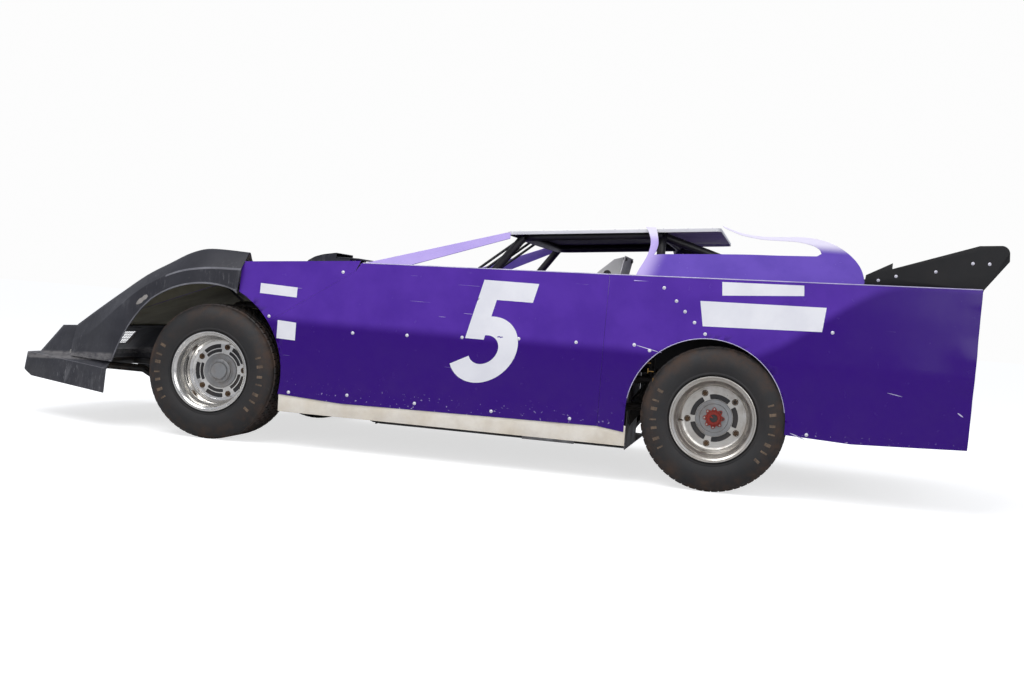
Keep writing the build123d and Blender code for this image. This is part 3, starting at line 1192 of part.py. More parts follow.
def steering_wheel():
    """Steering wheel and its column, down to the firewall."""
    hub_point, foot = (COCKPIT_REAR + 690, SEAT_Y, FLOOR_TOP + 672), (FIREWALL_X + 20, SEAT_Y - 20,
                                                                      FLOOR_TOP + 432)
    place = Plane(origin=hub_point, z_dir=Vector(*hub_point) - Vector(*foot))
    grip = revolve(Plane.XZ * Pos(WHEEL_RIM_RADIUS, 0) * RegularPolygon(WHEEL_GRIP_RADIUS, 6), Axis.Z)
    spokes = [Rot(0, 0, 120 * index) * Pos(WHEEL_RIM_RADIUS / 2, 0, 0) * Box(WHEEL_RIM_RADIUS - 4, 30, 5)
              for index in range(3)]
    return tube(foot, hub_point, COLUMN_RADIUS) + place * grip + [place * spoke for spoke in spokes]


def spoiler():
    """Rear blade across the tail between two upright side boards."""
    under = below_deck()
    outline = [(BODY_REAR + x, BODY_REAR_HEIGHT + z) for x, z in BOARD_OUTLINE]
    face = make_face(Polyline(*outline, close=True))
    tip = face.vertices().sort_by(Axis.Y)[-1]
    face = fillet(tip, BOARD_CORNER)
    parts = [extrude(side_plane(BOARD_Y) * face, BOARD_THICKNESS) - under]
    parts.append(other_side(parts[0]))
    half = BOARD_Y - BOARD_THICKNESS
    line = [(BODY_REAR + 6, BODY_REAR_HEIGHT - DECK_DROP), (outline[5][0] + 17, BODY_REAR_HEIGHT + 184)]
    return [across_polygon(strip(line, SKIN), -half, half) - under] + parts


def bumpers():
    """Bent tube loops ahead of the front rails and behind the rear rails, the latter with the tow eye."""
    reach = NOSE_TIP - 192
    front = [(RAIL_FRONT_END, RAIL_FRONT_Y, RAIL_FRONT_HEIGHT),
             (RAIL_FRONT_END + 150, RAIL_FRONT_Y, RAIL_FRONT_HEIGHT),
             (RAIL_FRONT_END + 300, RAIL_FRONT_Y, 290), (reach, RAIL_FRONT_Y, 290)]
    rear_x = RAIL_REAR_END - 150
    rear = [(RAIL_REAR_END, RAIL_REAR_Y, RAIL_REAR_HEIGHT), (rear_x, RAIL_REAR_Y, RAIL_REAR_HEIGHT)]
    loops = [bent_tube(side + [(x, -y, z) for x, y, z in side[::-1]], 60) for side in (front, rear)]
    eye_x = rear_x - 48
    plate = block((eye_x, rear_x), (-20, 20), (RAIL_REAR_HEIGHT - 8, RAIL_REAR_HEIGHT + 8))
    boss = tube((eye_x, 0, RAIL_REAR_HEIGHT - 8), (eye_x, 0, RAIL_REAR_HEIGHT + 8), 24)
    bore = tube((eye_x, 0, RAIL_REAR_HEIGHT - 9), (eye_x, 0, RAIL_REAR_HEIGHT + 9), TOW_EYE_RADIUS)
    return loops[0], loops[1] + plate + boss - bore


def body_nodes(tubes):
    """Sheet and plastic pieces of the body by node name; tubes are cut out of the deck."""
    skin, room, under = side_skin(), side_room(), below_deck()
    flare_left = flare()
    flares = both_sides(flare_left)
    fender_side, door, quarter = body_sides(skin)
    fender = (fender_side + fender_top(room)) - flare_left
    hood_sheet, roof_sheet = hood(), roof()
    post = largest(windscreen_post() - roof_sheet - under - fender)
    boards = pack_solids(*spoiler())
    left_sail, right_sail = [largest(sail(strip_too) - roof_sheet - under - skin - boards)
                             for strip_too in (True, False)]
    return {
        "deck": deck(room, tubes), "hood": hood_sheet, "hood_scoop": hood_scoop(), "nose": nose(flares,
                                                                                                hood_sheet),
        "flares": flares, "fenders": both_sides(fender), "doors": both_sides(door),
        "quarters": both_sides(quarter),
        "rockers": both_sides(rocker(skin)), "roof": roof_sheet, "windscreen_posts": both_sides(post),
        "sails": pack_solids(left_sail, other_side(right_sail)), "spoiler": boards,
        "rear_tubs": both_sides(rear_tub()),
    }


def build():
    """All nodes of the car by name."""
    nodes = corner_wheels()
    rails = pack_solids(rail(1), rail(-1))
    all_hoops = [largest(piece - rails) for piece in hoops()]
    hoop_set = pack_solids(*all_hoops)
    halo_ring = halo() - all_hoops[0]
    members = pack_solids(*cross_members(rails))
    front_leg, rear_leg = cage_legs()
    blocked = pack_solids(halo_ring, rails, hoop_set, members)
    legs = both_sides(pack_solids(largest(front_leg - blocked), largest(rear_leg - blocked)))
    bars = both_sides(pack_solids(*[largest(bar - all_hoops[0] - legs) for bar in door_bars()]))
    frame = pack_solids(rails, hoop_set, halo_ring, legs, bars, members)

    nodes.update(body_nodes(pack_solids(legs, hoop_set)))
    gearbox, axle, wheel = transmission(), rear_axle(), steering_wheel()
    tub = cockpit_walls(pack_solids(rails, members, all_hoops[0]))
    upright = knuckle()
    front_bumper, rear_bumper = bumpers()
    nodes.update({
        "frame_rails": rails, "frame_cross_members": members, "cage_hoops": hoop_set, "cage_halo": halo_ring,
        "cage_legs": legs, "door_bars": bars, "bumpers": pack_solids(front_bumper, rear_bumper),
        "screen_bars": screen_bars(pack_solids(halo_ring, nodes["deck"], legs)),
        "body_braces": both_sides(braces(pack_solids(frame, nodes["flares"]), side_room())),
        "floor_pan": floor_pan(rails), "cockpit_walls": tub,
        "firewall": firewall(pack_solids(rails, gearbox, wheel, tub, legs)),
        "engine_block": engine_block(), "transmission": gearbox,
        "drive_shaft": drive_shaft() - gearbox - axle,
        "radiator": radiator(), "exhaust": both_sides(exhaust()), "fuel_cell": fuel_cell(), "seat": seat(),
        "steering_wheel": wheel, "front_arms": both_sides(front_arms()), "rear_axle": axle,
        "coil_overs": both_sides(coil_overs()), "rear_links": both_sides(rear_links(pack_solids(axle,
                                                                                                rails))),
        "rack_housing": rack_housing(), "steering_rack": steering_rack(), "knuckle_left": upright,
        "knuckle_right": other_side(upright),
    })
    return nodes


os.makedirs("parts", exist_ok=True)
for name, shape in build().items():
    export_step(shape, f"parts/{name}.step")
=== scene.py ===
"""Looks of a dirt track stock car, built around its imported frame. Metres, +X forward, +Y to its left."""

import json
import logging
from collections.abc import Sequence
from dataclasses import dataclass, replace
from enum import Enum
from functools import cached_property, lru_cache
from math import atan2, cos, exp, hypot, pi, radians, sin

import bmesh
import bpy
from bpy.types import ID, Material, Mesh, Node, NodeSocket, Object, World
from mathutils import Euler, Matrix, Vector
from mathutils.bvhtree import BVHTree


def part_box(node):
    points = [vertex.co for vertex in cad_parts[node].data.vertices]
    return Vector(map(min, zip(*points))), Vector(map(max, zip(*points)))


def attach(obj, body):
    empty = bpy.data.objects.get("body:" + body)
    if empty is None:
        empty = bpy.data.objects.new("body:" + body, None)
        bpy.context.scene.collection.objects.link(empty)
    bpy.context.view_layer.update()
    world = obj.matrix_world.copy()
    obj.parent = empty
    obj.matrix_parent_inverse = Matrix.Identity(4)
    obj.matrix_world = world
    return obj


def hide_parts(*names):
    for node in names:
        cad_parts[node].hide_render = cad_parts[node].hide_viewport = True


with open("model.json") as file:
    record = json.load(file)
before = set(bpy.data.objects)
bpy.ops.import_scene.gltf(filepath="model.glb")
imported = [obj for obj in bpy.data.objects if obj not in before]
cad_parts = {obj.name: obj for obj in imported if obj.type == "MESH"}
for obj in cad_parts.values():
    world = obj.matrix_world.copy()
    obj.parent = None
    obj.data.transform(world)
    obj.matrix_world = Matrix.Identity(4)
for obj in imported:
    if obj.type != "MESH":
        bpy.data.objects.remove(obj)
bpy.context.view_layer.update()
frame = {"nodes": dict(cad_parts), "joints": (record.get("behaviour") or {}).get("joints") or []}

log = logging.getLogger("stock_car")

Colour = tuple[float, float, float]
Pair = tuple[float, float]
Point = tuple[float, float, float]
Value = "Signal | NodeSocket | float | tuple"


class Side(Enum):
    """The two sides of the car, with the sign of Y on each."""

    LEFT = 1
    RIGHT = -1

    @property
    def word(self) -> str:
        """The side's name as the frame's nodes and bodies have it."""
        return self.name.lower()

    @property
    def out(self) -> Vector:
        """The way outwards on this side."""
        return Vector((0, self.value, 0))


class End(Enum):
    """The two axles."""

    FRONT = "front"
    REAR = "rear"


class Slot(Enum):
    """The record's material slots, listed with the softened nodes; no piece is given one."""

    PURPLE = "purple_paint"
    LILAC = "lilac_paint"
    WHITE = "white_paint"
    CREAM = "cream_paint"
    PLASTIC = "black_plastic"
    SHEET = "black_sheet"
    TUBE = "black_tube"
    ALUMINIUM = "sheet_aluminium"
    STEEL = "exhaust_steel"
    HUB = "hub_steel"
    POLISHED = "polished_aluminium"
    SATIN = "satin_aluminium"
    RUBBER = "tyre_rubber"


CHASSIS = "chassis"
DOWN = (0, 0, -1)
BESIDE, ABOVE = 1.2, 1.5  # where rays start, clear of the car
MERGE = 1e-5
# The front arch's edge in X and Z, from the axle: three arcs that share their ends
FRONT_ARCH = ((-0.380, -0.083), (-0.318, 0.257), (-0.118, 0.433), (0.128, 0.451), (0.360, 0.351), (0.505, 0.165),
              (0.596, -0.167))
JOINTS = {joint["name"]: joint for joint in frame["joints"]}


def axle_centre(end: End, side: Side) -> Vector:
    """Middle of one wheel, from the frame's spin joint."""
    return Vector(JOINTS[f"spin_{end.value}_{side.word}"]["pos_m"])


def tone(red: int, green: int, blue: int) -> Colour:
    """Scene-linear colour of an sRGB one.

    Args:
        red, green, blue: parts from 0 to 255.

    Returns:
        The three linear parts from 0 to 1.
    """
    parts = (part / 255 for part in (red, green, blue))
    return tuple(part / 12.92 if part <= 0.04045 else ((part + 0.055) / 1.055) ** 2.4 for part in parts)


def held(value: float) -> float:
    """A share, held between 0 and 1."""
    return min(max(value, 0.0), 1.0)


def on_way(start: Sequence[float], end: Sequence[float], share: float) -> tuple[float, ...]:
    """The point at a share of the way from one to another."""
    return tuple(first + (last - first) * share for first, last in zip(start, end))


def height_on(start: Pair, end: Pair, x: float) -> float:
    """Height at a place on the straight line through two points in X and Z."""
    return start[1] + (end[1] - start[1]) * (x - start[0]) / (end[0] - start[0])


def mirrored(profile: Sequence[Pair]) -> list[Pair]:
    """A lathe profile on the other side of the wheel's middle."""
    return [(-along, radius) for along, radius in profile]


def faces_of(piece: Object) -> BVHTree:
    """Search tree of a piece's faces."""
    return BVHTree.FromObject(piece, bpy.context.evaluated_depsgraph_get())


DUST = tone(126, 104, 82)


class Signal:
    """A number that runs through a shader, so that Python's operators add its Math nodes."""

    def __init__(self, graph: "Graph", socket: NodeSocket) -> None:
        """Wrap one socket of a graph."""
        self.graph = graph
        self.socket = socket

    def __add__(self, other: Value) -> "Signal":
        """Sum."""
        return self.graph.maths("ADD", self, other)

    def __sub__(self, other: Value) -> "Signal":
        """Difference."""
        return self.graph.maths("SUBTRACT", self, other)

    def __rsub__(self, other: Value) -> "Signal":
        """Difference from a plain number."""
        return self.graph.maths("SUBTRACT", other, self)

    def __mul__(self, other: Value) -> "Signal":
        """Product."""
        return self.graph.maths("MULTIPLY", self, other)

    def __pow__(self, other: Value) -> "Signal":
        """Power."""
        return self.graph.maths("POWER", self, other)

    def __rpow__(self, other: Value) -> "Signal":
        """Power of a plain number."""
        return self.graph.maths("POWER", other, self)

    __radd__ = __add__
    __rmul__ = __mul__

    def between(self, low: float, high: float) -> "Signal":
        """A soft step.

        Args:
            low, high: the values at which it is 0 and 1.

        Returns:
            The step's value.
        """
        made = self.graph.node("ShaderNodeMapRange", {"interpolation_type": "SMOOTHSTEP"},
                               Value=self, From_Min=low, From_Max=high)
        return Signal(self.graph, made.outputs["Result"])

    def clamped(self) -> "Signal":
        """Held between 0 and 1."""
        return Signal(self.graph, self.graph.node("ShaderNodeClamp", Value=self).outputs["Result"])


class Graph:
    """The nodes of one material on the piece's own coordinates, or those of a world."""

    def __init__(self, name: str, world: World | None = None) -> None:
        """Start with no nodes.

        Args:
            name: the material's name.
            world: the world whose nodes they are, where no material is made.
        """
        self.material = None if world else bpy.data.materials.new(name)
        owner = world or self.material
        owner.use_nodes = True
        self.tree = owner.node_tree
        self.tree.nodes.clear()

    @cached_property
    def place(self) -> NodeSocket:
        """The piece's own coordinates."""
        return self.node("ShaderNodeTexCoord").outputs["Object"]

    @cached_property
    def parts(self) -> Node:
        """The coordinates taken apart."""
        return self.node("ShaderNodeSeparateXYZ", Vector=self.place)

    @property
    def x(self) -> Signal:
        """Place along the car."""
        return Signal(self, self.parts.outputs["X"])

    @property
    def y(self) -> Signal:
        """Place across the car."""
        return Signal(self, self.parts.outputs["Y"])

    @property
    def z(self) -> Signal:
        """Height."""
        return Signal(self, self.parts.outputs["Z"])

    def node(self, kind: str, settings: dict[str, object] | None = None, **sockets: Value) -> Node:
        """Add a node, the one way in which this file does.

        Args:
            kind: the node's type.
            settings: its own settings, which are set first.
            sockets: values or links by socket name, or by identifier where two share a name.

        Returns:
            The new node.
        """
        made = self.tree.nodes.new(kind)
        for key, value in (settings or {}).items():
            setattr(made, key, value)
        for name, value in sockets.items():
            self._feed(self._input(made, name), value)
        return made

    def _input(self, made: Node, name: str) -> NodeSocket:
        """The input with an identifier, or else with a name in which _ stands for a space."""
        found = next((socket for socket in made.inputs if socket.identifier == name), None)
        return found or made.inputs[name.replace("_", " ")]

    def _feed(self, socket: NodeSocket, value: Value) -> None:
        """Link or set one input.

        Args:
            socket: the input.
            value: a link, or a plain number, colour or place.
        """
        if isinstance(value, Signal):
            self.tree.links.new(value.socket, socket)
        elif isinstance(value, NodeSocket):
            self.tree.links.new(value, socket)
        elif isinstance(value, tuple) and socket.type == "RGBA":
            socket.default_value = (*value, 1.0)
        else:
            socket.default_value = value

    def maths(self, operation: str, *values: Value) -> Signal:
        """A Math node on up to three values.

        Args:
            operation: what it does.
            values: numbers or links.

        Returns:
            The node's result.
        """
        names = ("Value", "Value_001", "Value_002")
        made = self.node("ShaderNodeMath", {"operation": operation}, **dict(zip(names, values)))
        return Signal(self, made.outputs["Value"])

    def noise(self, scale: float, detail: float = 3.0, roughness: float = 0.55,
              stretch: Point = (1.0, 1.0, 1.0)) -> Signal:
        """Soft noise from 0 to 1.

        Args:
            scale: cells in a metre.
            detail: octaves.
            roughness: share that each octave keeps.
            stretch: how much faster it changes along each axis.

        Returns:
            The noise's value.
        """
        place = self.node("ShaderNodeMapping", Vector=self.place, Scale=stretch).outputs["Vector"]
        made = self.node("ShaderNodeTexNoise", Vector=place, Scale=scale, Detail=detail, Roughness=roughness)
        return Signal(self, made.outputs[0])

    def cells(self, scale: float) -> Signal:
        """Distance to the nearest of scattered points, in cells."""
        return Signal(self, self.node("ShaderNodeTexVoronoi", Vector=self.place, Scale=scale).outputs["Distance"])

    def from_axis(self, centre: Pair) -> Signal:
        """Distance from a line along Y through (x, z)."""
        across, up = self.x - centre[0], self.z - centre[1]
        return (across * across + up * up) ** 0.5

    def blend(self, mask: Signal, low: Value, high: Value) -> NodeSocket:
        """A colour that goes from low to high with a mask."""
        made = self.node("ShaderNodeMix", {"data_type": "RGBA"}, Factor_Float=mask, A_Color=low, B_Color=high)
        return next(socket for socket in made.outputs if socket.identifier == "Result_Color")

    def surface(self, colour: Value, roughness: Value, height: Signal | None = None,
                metallic: Value = 0.0, **plain: Value) -> Material:
        """Close the graph with one shader.

        Args:
            colour: its colour or a link to one.
            roughness: its roughness.
            height: relief in millimetres.
            metallic: how far it is metal.
            plain: values that are the same all over the surface.

        Returns:
            The finished material.
        """
        shader = self.node("ShaderNodeBsdfPrincipled", Base_Color=colour, Roughness=roughness,
                           Metallic=metallic, **plain)
        if height is not None:
            bump = self.node("ShaderNodeBump", Height=height, Distance=0.001, Strength=1.0)
            self.tree.links.new(bump.outputs["Normal"], shader.inputs["Normal"])
        self.node("ShaderNodeOutputMaterial", Surface=shader.outputs["BSDF"])
        return self.material


@dataclass(frozen=True)
class Finish:
    """A surface: its tones, gloss and grain, and the dust that lies on it."""

    name: str
    tone: Colour
    patch: Colour
    roughness: float = 0.5
    metallic: float = 0.0
    coat: float = 0.0
    specular: float = 0.5
    patch_scale: float = 6.0
    grain_scale: float = 300.0
    grain_depth: float = 0.02
    dust: float = 0.25
    dust_top: float = 0.55
    soil: Colour = DUST

    def tones(self, graph: Graph) -> NodeSocket:
        """The clean surface's colour."""
        return graph.blend(graph.noise(self.patch_scale, 5).between(0.3, 0.7), self.tone, self.patch)

    def gloss(self, graph: Graph) -> Signal:
        """The clean surface's roughness."""
        return graph.noise(self.patch_scale * 4, 4) * 0.16 + (self.roughness - 0.08)

    def relief(self, graph: Graph) -> Signal:
        """Heights of the surface in millimetres."""
        return graph.noise(self.grain_scale, 3) * self.grain_depth

    def soiled(self, graph: Graph) -> Signal:
        """Where dust lies: thin all over, thicker near the ground.

        Args:
            graph: the material's nodes.

        Returns:
            The dust's share, from 0 to 1.
        """
        low = 1 - graph.z.between(0.02, self.dust_top)
        cloud = graph.noise(11, 6, 0.62).between(0.34, 0.72)
        return ((low * 0.8 + 0.2) * cloud * self.dust).clamped()

    def material(self) -> Material:
        """Build the material.

        Returns:
            A new procedural material.
        """
        graph = Graph(self.name)
        soiled = self.soiled(graph)
        colour = graph.blend(soiled, self.tones(graph), self.soil)
        clean = self.gloss(graph)
        roughness = clean + soiled * (0.92 - clean)
        metallic = (1 - soiled) * self.metallic if self.metallic else 0.0
        return graph.surface(colour, roughness, self.relief(graph), metallic, Coat_Weight=self.coat,
                             Coat_Roughness=0.12, Specular_IOR_Level=self.specular)


@dataclass(frozen=True)
class GlossFilm(Finish):
    """Coloured film on thin sheet: wavy, scratched, with painted shade below the body's bend."""

    # Painted shade: the darker colour below the bend, the bend's height and how far the shade's line climbs towards the
    # rear
    deep: Colour = (0.02, 0.004, 0.12)
    bend: float = 0.66
    sweep: float = 0.42
    wave: float = 1.6

    def tones(self, graph: Graph) -> NodeSocket:
        """Film with painted shade below the bend, with pale scratches and chips along its foot.

        Args:
            graph: the material's nodes.

        Returns:
            The colour.
        """
        colour = super().tones(graph)
        # Painted shade: below the bend, whose line climbs towards the rear, the film is darkened to its shade colour
        climb = (0 - graph.x).between(1.35, 2.2) * self.sweep
        below = 1 - (graph.z - climb).between(self.bend - 0.035, self.bend + 0.03)
        colour = graph.blend(below, colour, self.deep)
        scratch = graph.noise(5, 2, 0.4, (1, 1, 34)).between(0.755, 0.765) * graph.noise(2.3, 2).between(0.52, 0.62)
        chips = graph.noise(60, 3).between(0.66, 0.69) * (1 - graph.z.between(0.29, 0.36))
        return graph.blend((scratch + chips).clamped() * 0.6, colour, tone(196, 186, 214))

    def relief(self, graph: Graph) -> Signal:
        """Slow waves of the sheet, and the film's fine ripple."""
        return graph.noise(2.6, 2, 0.4, (1, 1, 1.6)) * self.wave + graph.noise(34, 3) * 0.05


@dataclass(frozen=True)
class SailFilm(GlossFilm):
    """Film of the sail panel: pale on its front post, darker on the panel behind."""

    pale: Colour = (0.4, 0.3, 0.7)
    post_rear: float = -0.95

    def tones(self, graph: Graph) -> NodeSocket:
        """Fade from the pale post into the darker panel, and up into a nearly white strip.

        Args:
            graph: the material's nodes.

        Returns:
            The colour.
        """
        behind = 1 - (graph.x + (graph.z - 1.15) * 0.25).between(self.post_rear - 0.06, self.post_rear + 0.05)
        colour = graph.blend(behind, self.pale, super().tones(graph))
        return graph.blend(graph.z.between(1.205, 1.262), colour, tone(232, 226, 244))


@dataclass(frozen=True)
class ScuffedPlastic(Finish):
    """Moulded plastic: fine leather grain, upright scuffs and rubbed patches."""

    scuff: Colour = (0.16, 0.16, 0.17)

    def tones(self, graph: Graph) -> NodeSocket:
        """Dark plastic with paler scuffs that run up and down, thickest low on the nose, and dust on its shelf.

        Args:
            graph: the material's nodes.

        Returns:
            The colour.
        """
        streak = graph.noise(14, 6, 0.7, (1.4, 1.4, 0.35)).between(0.52, 0.74)
        fine = graph.noise(90, 4, 0.7, (1, 1, 0.25)).between(0.56, 0.7)
        rubbed = (graph.noise(3.2, 3).between(0.42, 0.68)
                  + graph.x.between(1.7, 2.2) * (1 - graph.z.between(0.36, 0.5)) * 0.35)
        colour = graph.blend(((streak * 0.5 + fine * 0.6) * rubbed).clamped(), super().tones(graph), self.scuff)
        level = graph.z + (graph.x - 1.95) * 0.07
        shelf = level.between(0.352, 0.362) * (1 - level.between(0.388, 0.404)) * graph.x.between(1.86, 1.93)
        dusty = graph.noise(30, 5, 0.7, (0.4, 0.4, 1)).between(0.3, 0.6)
        return graph.blend(shelf * dusty * 0.6, colour, tone(142, 138, 136))

    def relief(self, graph: Graph) -> Signal:
        """Grain, and shallow waves of the moulding."""
        return graph.cells(420) * 0.03 + graph.noise(5, 2) * 0.8


@dataclass(frozen=True)
class BrushedSheet(Finish):
    """Bare sheet metal with a rolling grain and scratches."""

    def gloss(self, graph: Graph) -> Signal:
        """Rolling grain along the car, and random scratches."""
        grain = graph.noise(40, 4, 0.6, (0.15, 3, 3))
        return grain * 0.22 + (self.roughness - 0.1)

    def relief(self, graph: Graph) -> Signal:
        """Shallow waves and the grain."""
        return graph.noise(5, 2) * 0.7 + graph.noise(60, 3, 0.6, (0.2, 4, 4)) * 0.02


@dataclass(frozen=True)
class SpunMetal(Finish):
    """Wheel metal turned on a lathe: rings about its own axle, dust all round."""

    axle: Pair = (0.0, 0.0)
    ring_scale: float = 900.0

    def rings(self, graph: Graph, scale: float) -> Signal:
        """Waves from -1 to 1 round the axle."""
        return graph.maths("SINE", graph.from_axis(self.axle) * scale)

    def gloss(self, graph: Graph) -> Signal:
        """Fine rings that scatter light round the axle."""
        rings = self.rings(graph, self.ring_scale) * 0.03
        return graph.noise(26, 5, 0.65) * 0.2 + rings + (self.roughness - 0.1)

    def relief(self, graph: Graph) -> Signal:
        """Rings of the lathe."""
        return self.rings(graph, self.ring_scale) * 0.004

    def soiled(self, graph: Graph) -> Signal:
        """Dust all round, as it is thrown on."""
        return (graph.noise(16, 6, 0.65).between(0.42, 0.76) * self.dust).clamped()


@dataclass(frozen=True)
class TyreRubber(SpunMetal):
    """Tyre rubber: clay on the shoulder, a darker band beside the rim, scrubbed tread."""

    tread: float = 0.335

    def tones(self, graph: Graph) -> NodeSocket:
        """Rubber with paler worn patches on the tread.

        Args:
            graph: the material's nodes.

        Returns:
            The colour.
        """
        ring = graph.from_axis(self.axle)
        worn = graph.noise(24, 5, 0.7).between(0.5, 0.75) * ring.between(self.tread - 0.01, self.tread + 0.01)
        return graph.blend(worn * 0.5, super().tones(graph), tone(88, 82, 78))

    def gloss(self, graph: Graph) -> Signal:
        """Satin sidewall."""
        return graph.noise(20, 4) * 0.16 + (self.roughness - 0.08)

    def relief(self, graph: Graph) -> Signal:
        """Mould rings and the rubber's grain."""
        return self.rings(graph, 520) * 0.05 + graph.noise(260, 4, 0.7) * 0.12

    def soiled(self, graph: Graph) -> Signal:
        """Clay that is thick on the shoulder and thin beside the rim.

        Args:
            graph: the material's nodes.

        Returns:
            The clay's share, from 0 to 1.
        """
        ring = graph.from_axis(self.axle)
        outer = ring.between(0.25, 0.345) * 0.8 + 0.12
        cloud = graph.noise(13, 6, 0.66).between(0.36, 0.74)
        return (outer * cloud * self.dust).clamped()


# The darker colours given below the bend are painted shade
PURPLE = GlossFilm("purple_film", tone(84, 46, 160), tone(75, 38, 150), 0.24, coat=0.05, specular=0.22, dust=0.05,
                   deep=tone(48, 0, 116))
DECK_PURPLE = GlossFilm("deck_film", tone(74, 40, 152), tone(64, 32, 140), 0.26, coat=0.3, dust=0.22,
                        dust_top=2.4, deep=tone(40, 10, 108), sweep=0.0)
SAIL_PURPLE = SailFilm("sail_film", tone(100, 70, 180), tone(90, 61, 170), 0.24, coat=0.2, specular=0.4, dust=0.05,
                       deep=tone(60, 30, 130), bend=0.3, sweep=0.0, pale=tone(192, 174, 232))
LILAC = GlossFilm("lilac_film", tone(188, 168, 232), tone(178, 158, 226), 0.25, coat=0.4, dust=0.1,
                  deep=tone(150, 130, 205), bend=0.4, sweep=0.0)
CUT_EDGE = Finish("cut_sheet_edge", tone(176, 172, 184), tone(140, 134, 152), 0.4, 0.6, dust=0.2)
WHITE = Finish("white_sheet", tone(226, 226, 228), tone(212, 212, 216), 0.35, coat=0.2, dust=0.12, dust_top=3.0)
CREAM = Finish("rocker_white", tone(238, 232, 220), tone(226, 216, 198), 0.4, coat=0.15, dust=0.22)
VINYL_WHITE = Finish("white_vinyl", tone(232, 232, 236), tone(222, 222, 228), 0.35, coat=0.15, dust=0.06)
PLASTIC = ScuffedPlastic("nose_plastic", tone(40, 40, 47), tone(31, 31, 38), 0.42, dust=0.28, dust_top=0.6,
                         soil=tone(100, 98, 100))
# Pale crease finish: partly rubbed wear, partly a painted highlight along folds and lips
CREASE_WEAR_AND_HIGHLIGHT = ScuffedPlastic("rubbed_crease", tone(118, 118, 124), tone(86, 86, 92), 0.5, dust=0.1)
# Undersides of hood and flares: pale olive, a painted reflection of lit green ground
INSIDE_PAINTED_REFLECTION = Finish("arch_inside", tone(150, 146, 128), tone(128, 124, 108), 0.8, specular=0.2, dust=0.15, dust_top=1.2)
RUBBED = Finish("rubbed_patch", tone(176, 172, 168), tone(120, 116, 112), 0.7, dust=0.2)
BLACK_SHEET = Finish("black_sheet", tone(11, 11, 14), tone(15, 15, 18), 0.42, specular=0.3, dust=0.06, dust_top=0.6)
# White underside raised above the roof's white and tinted yellow-green: painted light that cancels the shade and purple
# bounce under the roof
UNDERSIDE_PAINTED_LIGHT = Finish("pale_underside", tone(236, 240, 206), tone(222, 226, 194), 0.8, specular=0.1, dust=0.05)
HEAD_PLATE = Finish("head_plate", tone(204, 203, 202), tone(190, 189, 188), 0.5, dust=0.1)
BRONZE = Finish("bronze_nut", tone(104, 82, 60), tone(74, 58, 46), 0.42, 0.8, dust=0.3)
BRASS = Finish("brass_bracket", tone(176, 140, 78), tone(140, 108, 62), 0.4, 0.8, dust=0.25)
HEM = Finish("sheet_hem", tone(206, 200, 224), tone(170, 162, 200), 0.35, 0.2, dust=0.1)
TUBE = Finish("powder_coat", tone(24, 24, 27), tone(34, 33, 34), 0.42, grain_scale=420, grain_depth=0.05,
              dust=0.3, dust_top=0.8)
BARE = BrushedSheet("bare_sheet", tone(176, 177, 180), tone(150, 150, 152), 0.42, 1.0, dust=0.35, dust_top=0.9)
CASTING = Finish("sand_casting", tone(150, 150, 150), tone(118, 116, 112), 0.55, 0.85, grain_scale=700,
                 grain_depth=0.15, dust=0.55)
IRON = Finish("painted_iron", tone(46, 46, 50), tone(70, 52, 42), 0.55, 0.3, grain_scale=600, grain_depth=0.12,
              dust=0.5)
RIM_POLISHED = SpunMetal("rim_front", tone(226, 224, 220), tone(214, 212, 208), 0.14, 1.0, dust=0.15)
RIM_SATIN = SpunMetal("rim_rear", tone(214, 211, 205), tone(196, 192, 184), 0.32, 1.0, dust=0.35)
ROTOR = Finish("rotor_iron", tone(120, 116, 112), tone(96, 70, 52), 0.45, 0.9, dust=0.3)
STEEL = Finish("stained_steel", tone(126, 112, 100), tone(92, 74, 66), 0.42, 0.9, patch_scale=9, dust=0.4)
ZINC = Finish("zinc_plate", tone(186, 184, 178), tone(160, 156, 146), 0.36, 1.0, dust=0.2)
RIVET = Finish("rivet_head", tone(226, 224, 232), tone(200, 198, 210), 0.35, 0.2, dust=0.1)
RED_ANODISED = Finish("red_anodised", tone(150, 44, 36), tone(118, 34, 30), 0.38, 0.55, dust=0.35)
BLACK_CAP = Finish("black_cap", tone(30, 31, 34), tone(44, 44, 46), 0.4, dust=0.25)
SPRING_PAINT = Finish("spring_paint", tone(150, 150, 156), tone(120, 120, 126), 0.35, 0.3, coat=0.3, dust=0.4)
SHOCK_BODY = Finish("shock_body", tone(120, 122, 126), tone(98, 98, 102), 0.3, 0.9, dust=0.35)
RUBBER = Finish("rubber_part", tone(26, 25, 25), tone(38, 34, 32), 0.7, dust=0.3, grain_depth=0.08)
DIAL = Finish("dial_face", tone(228, 228, 224), tone(220, 220, 214), 0.4, dust=0.05)
# Near black for the roof's underside ahead of the hoop
ROOF_DARK_AHEAD = Finish("roof_liner", tone(22, 22, 24), tone(30, 29, 30), 0.7, dust=0.15, dust_top=2.0)


@lru_cache(maxsize=None)
def material_of(finish: Finish) -> Material:
    """The one material of a finish."""
    return finish.material()


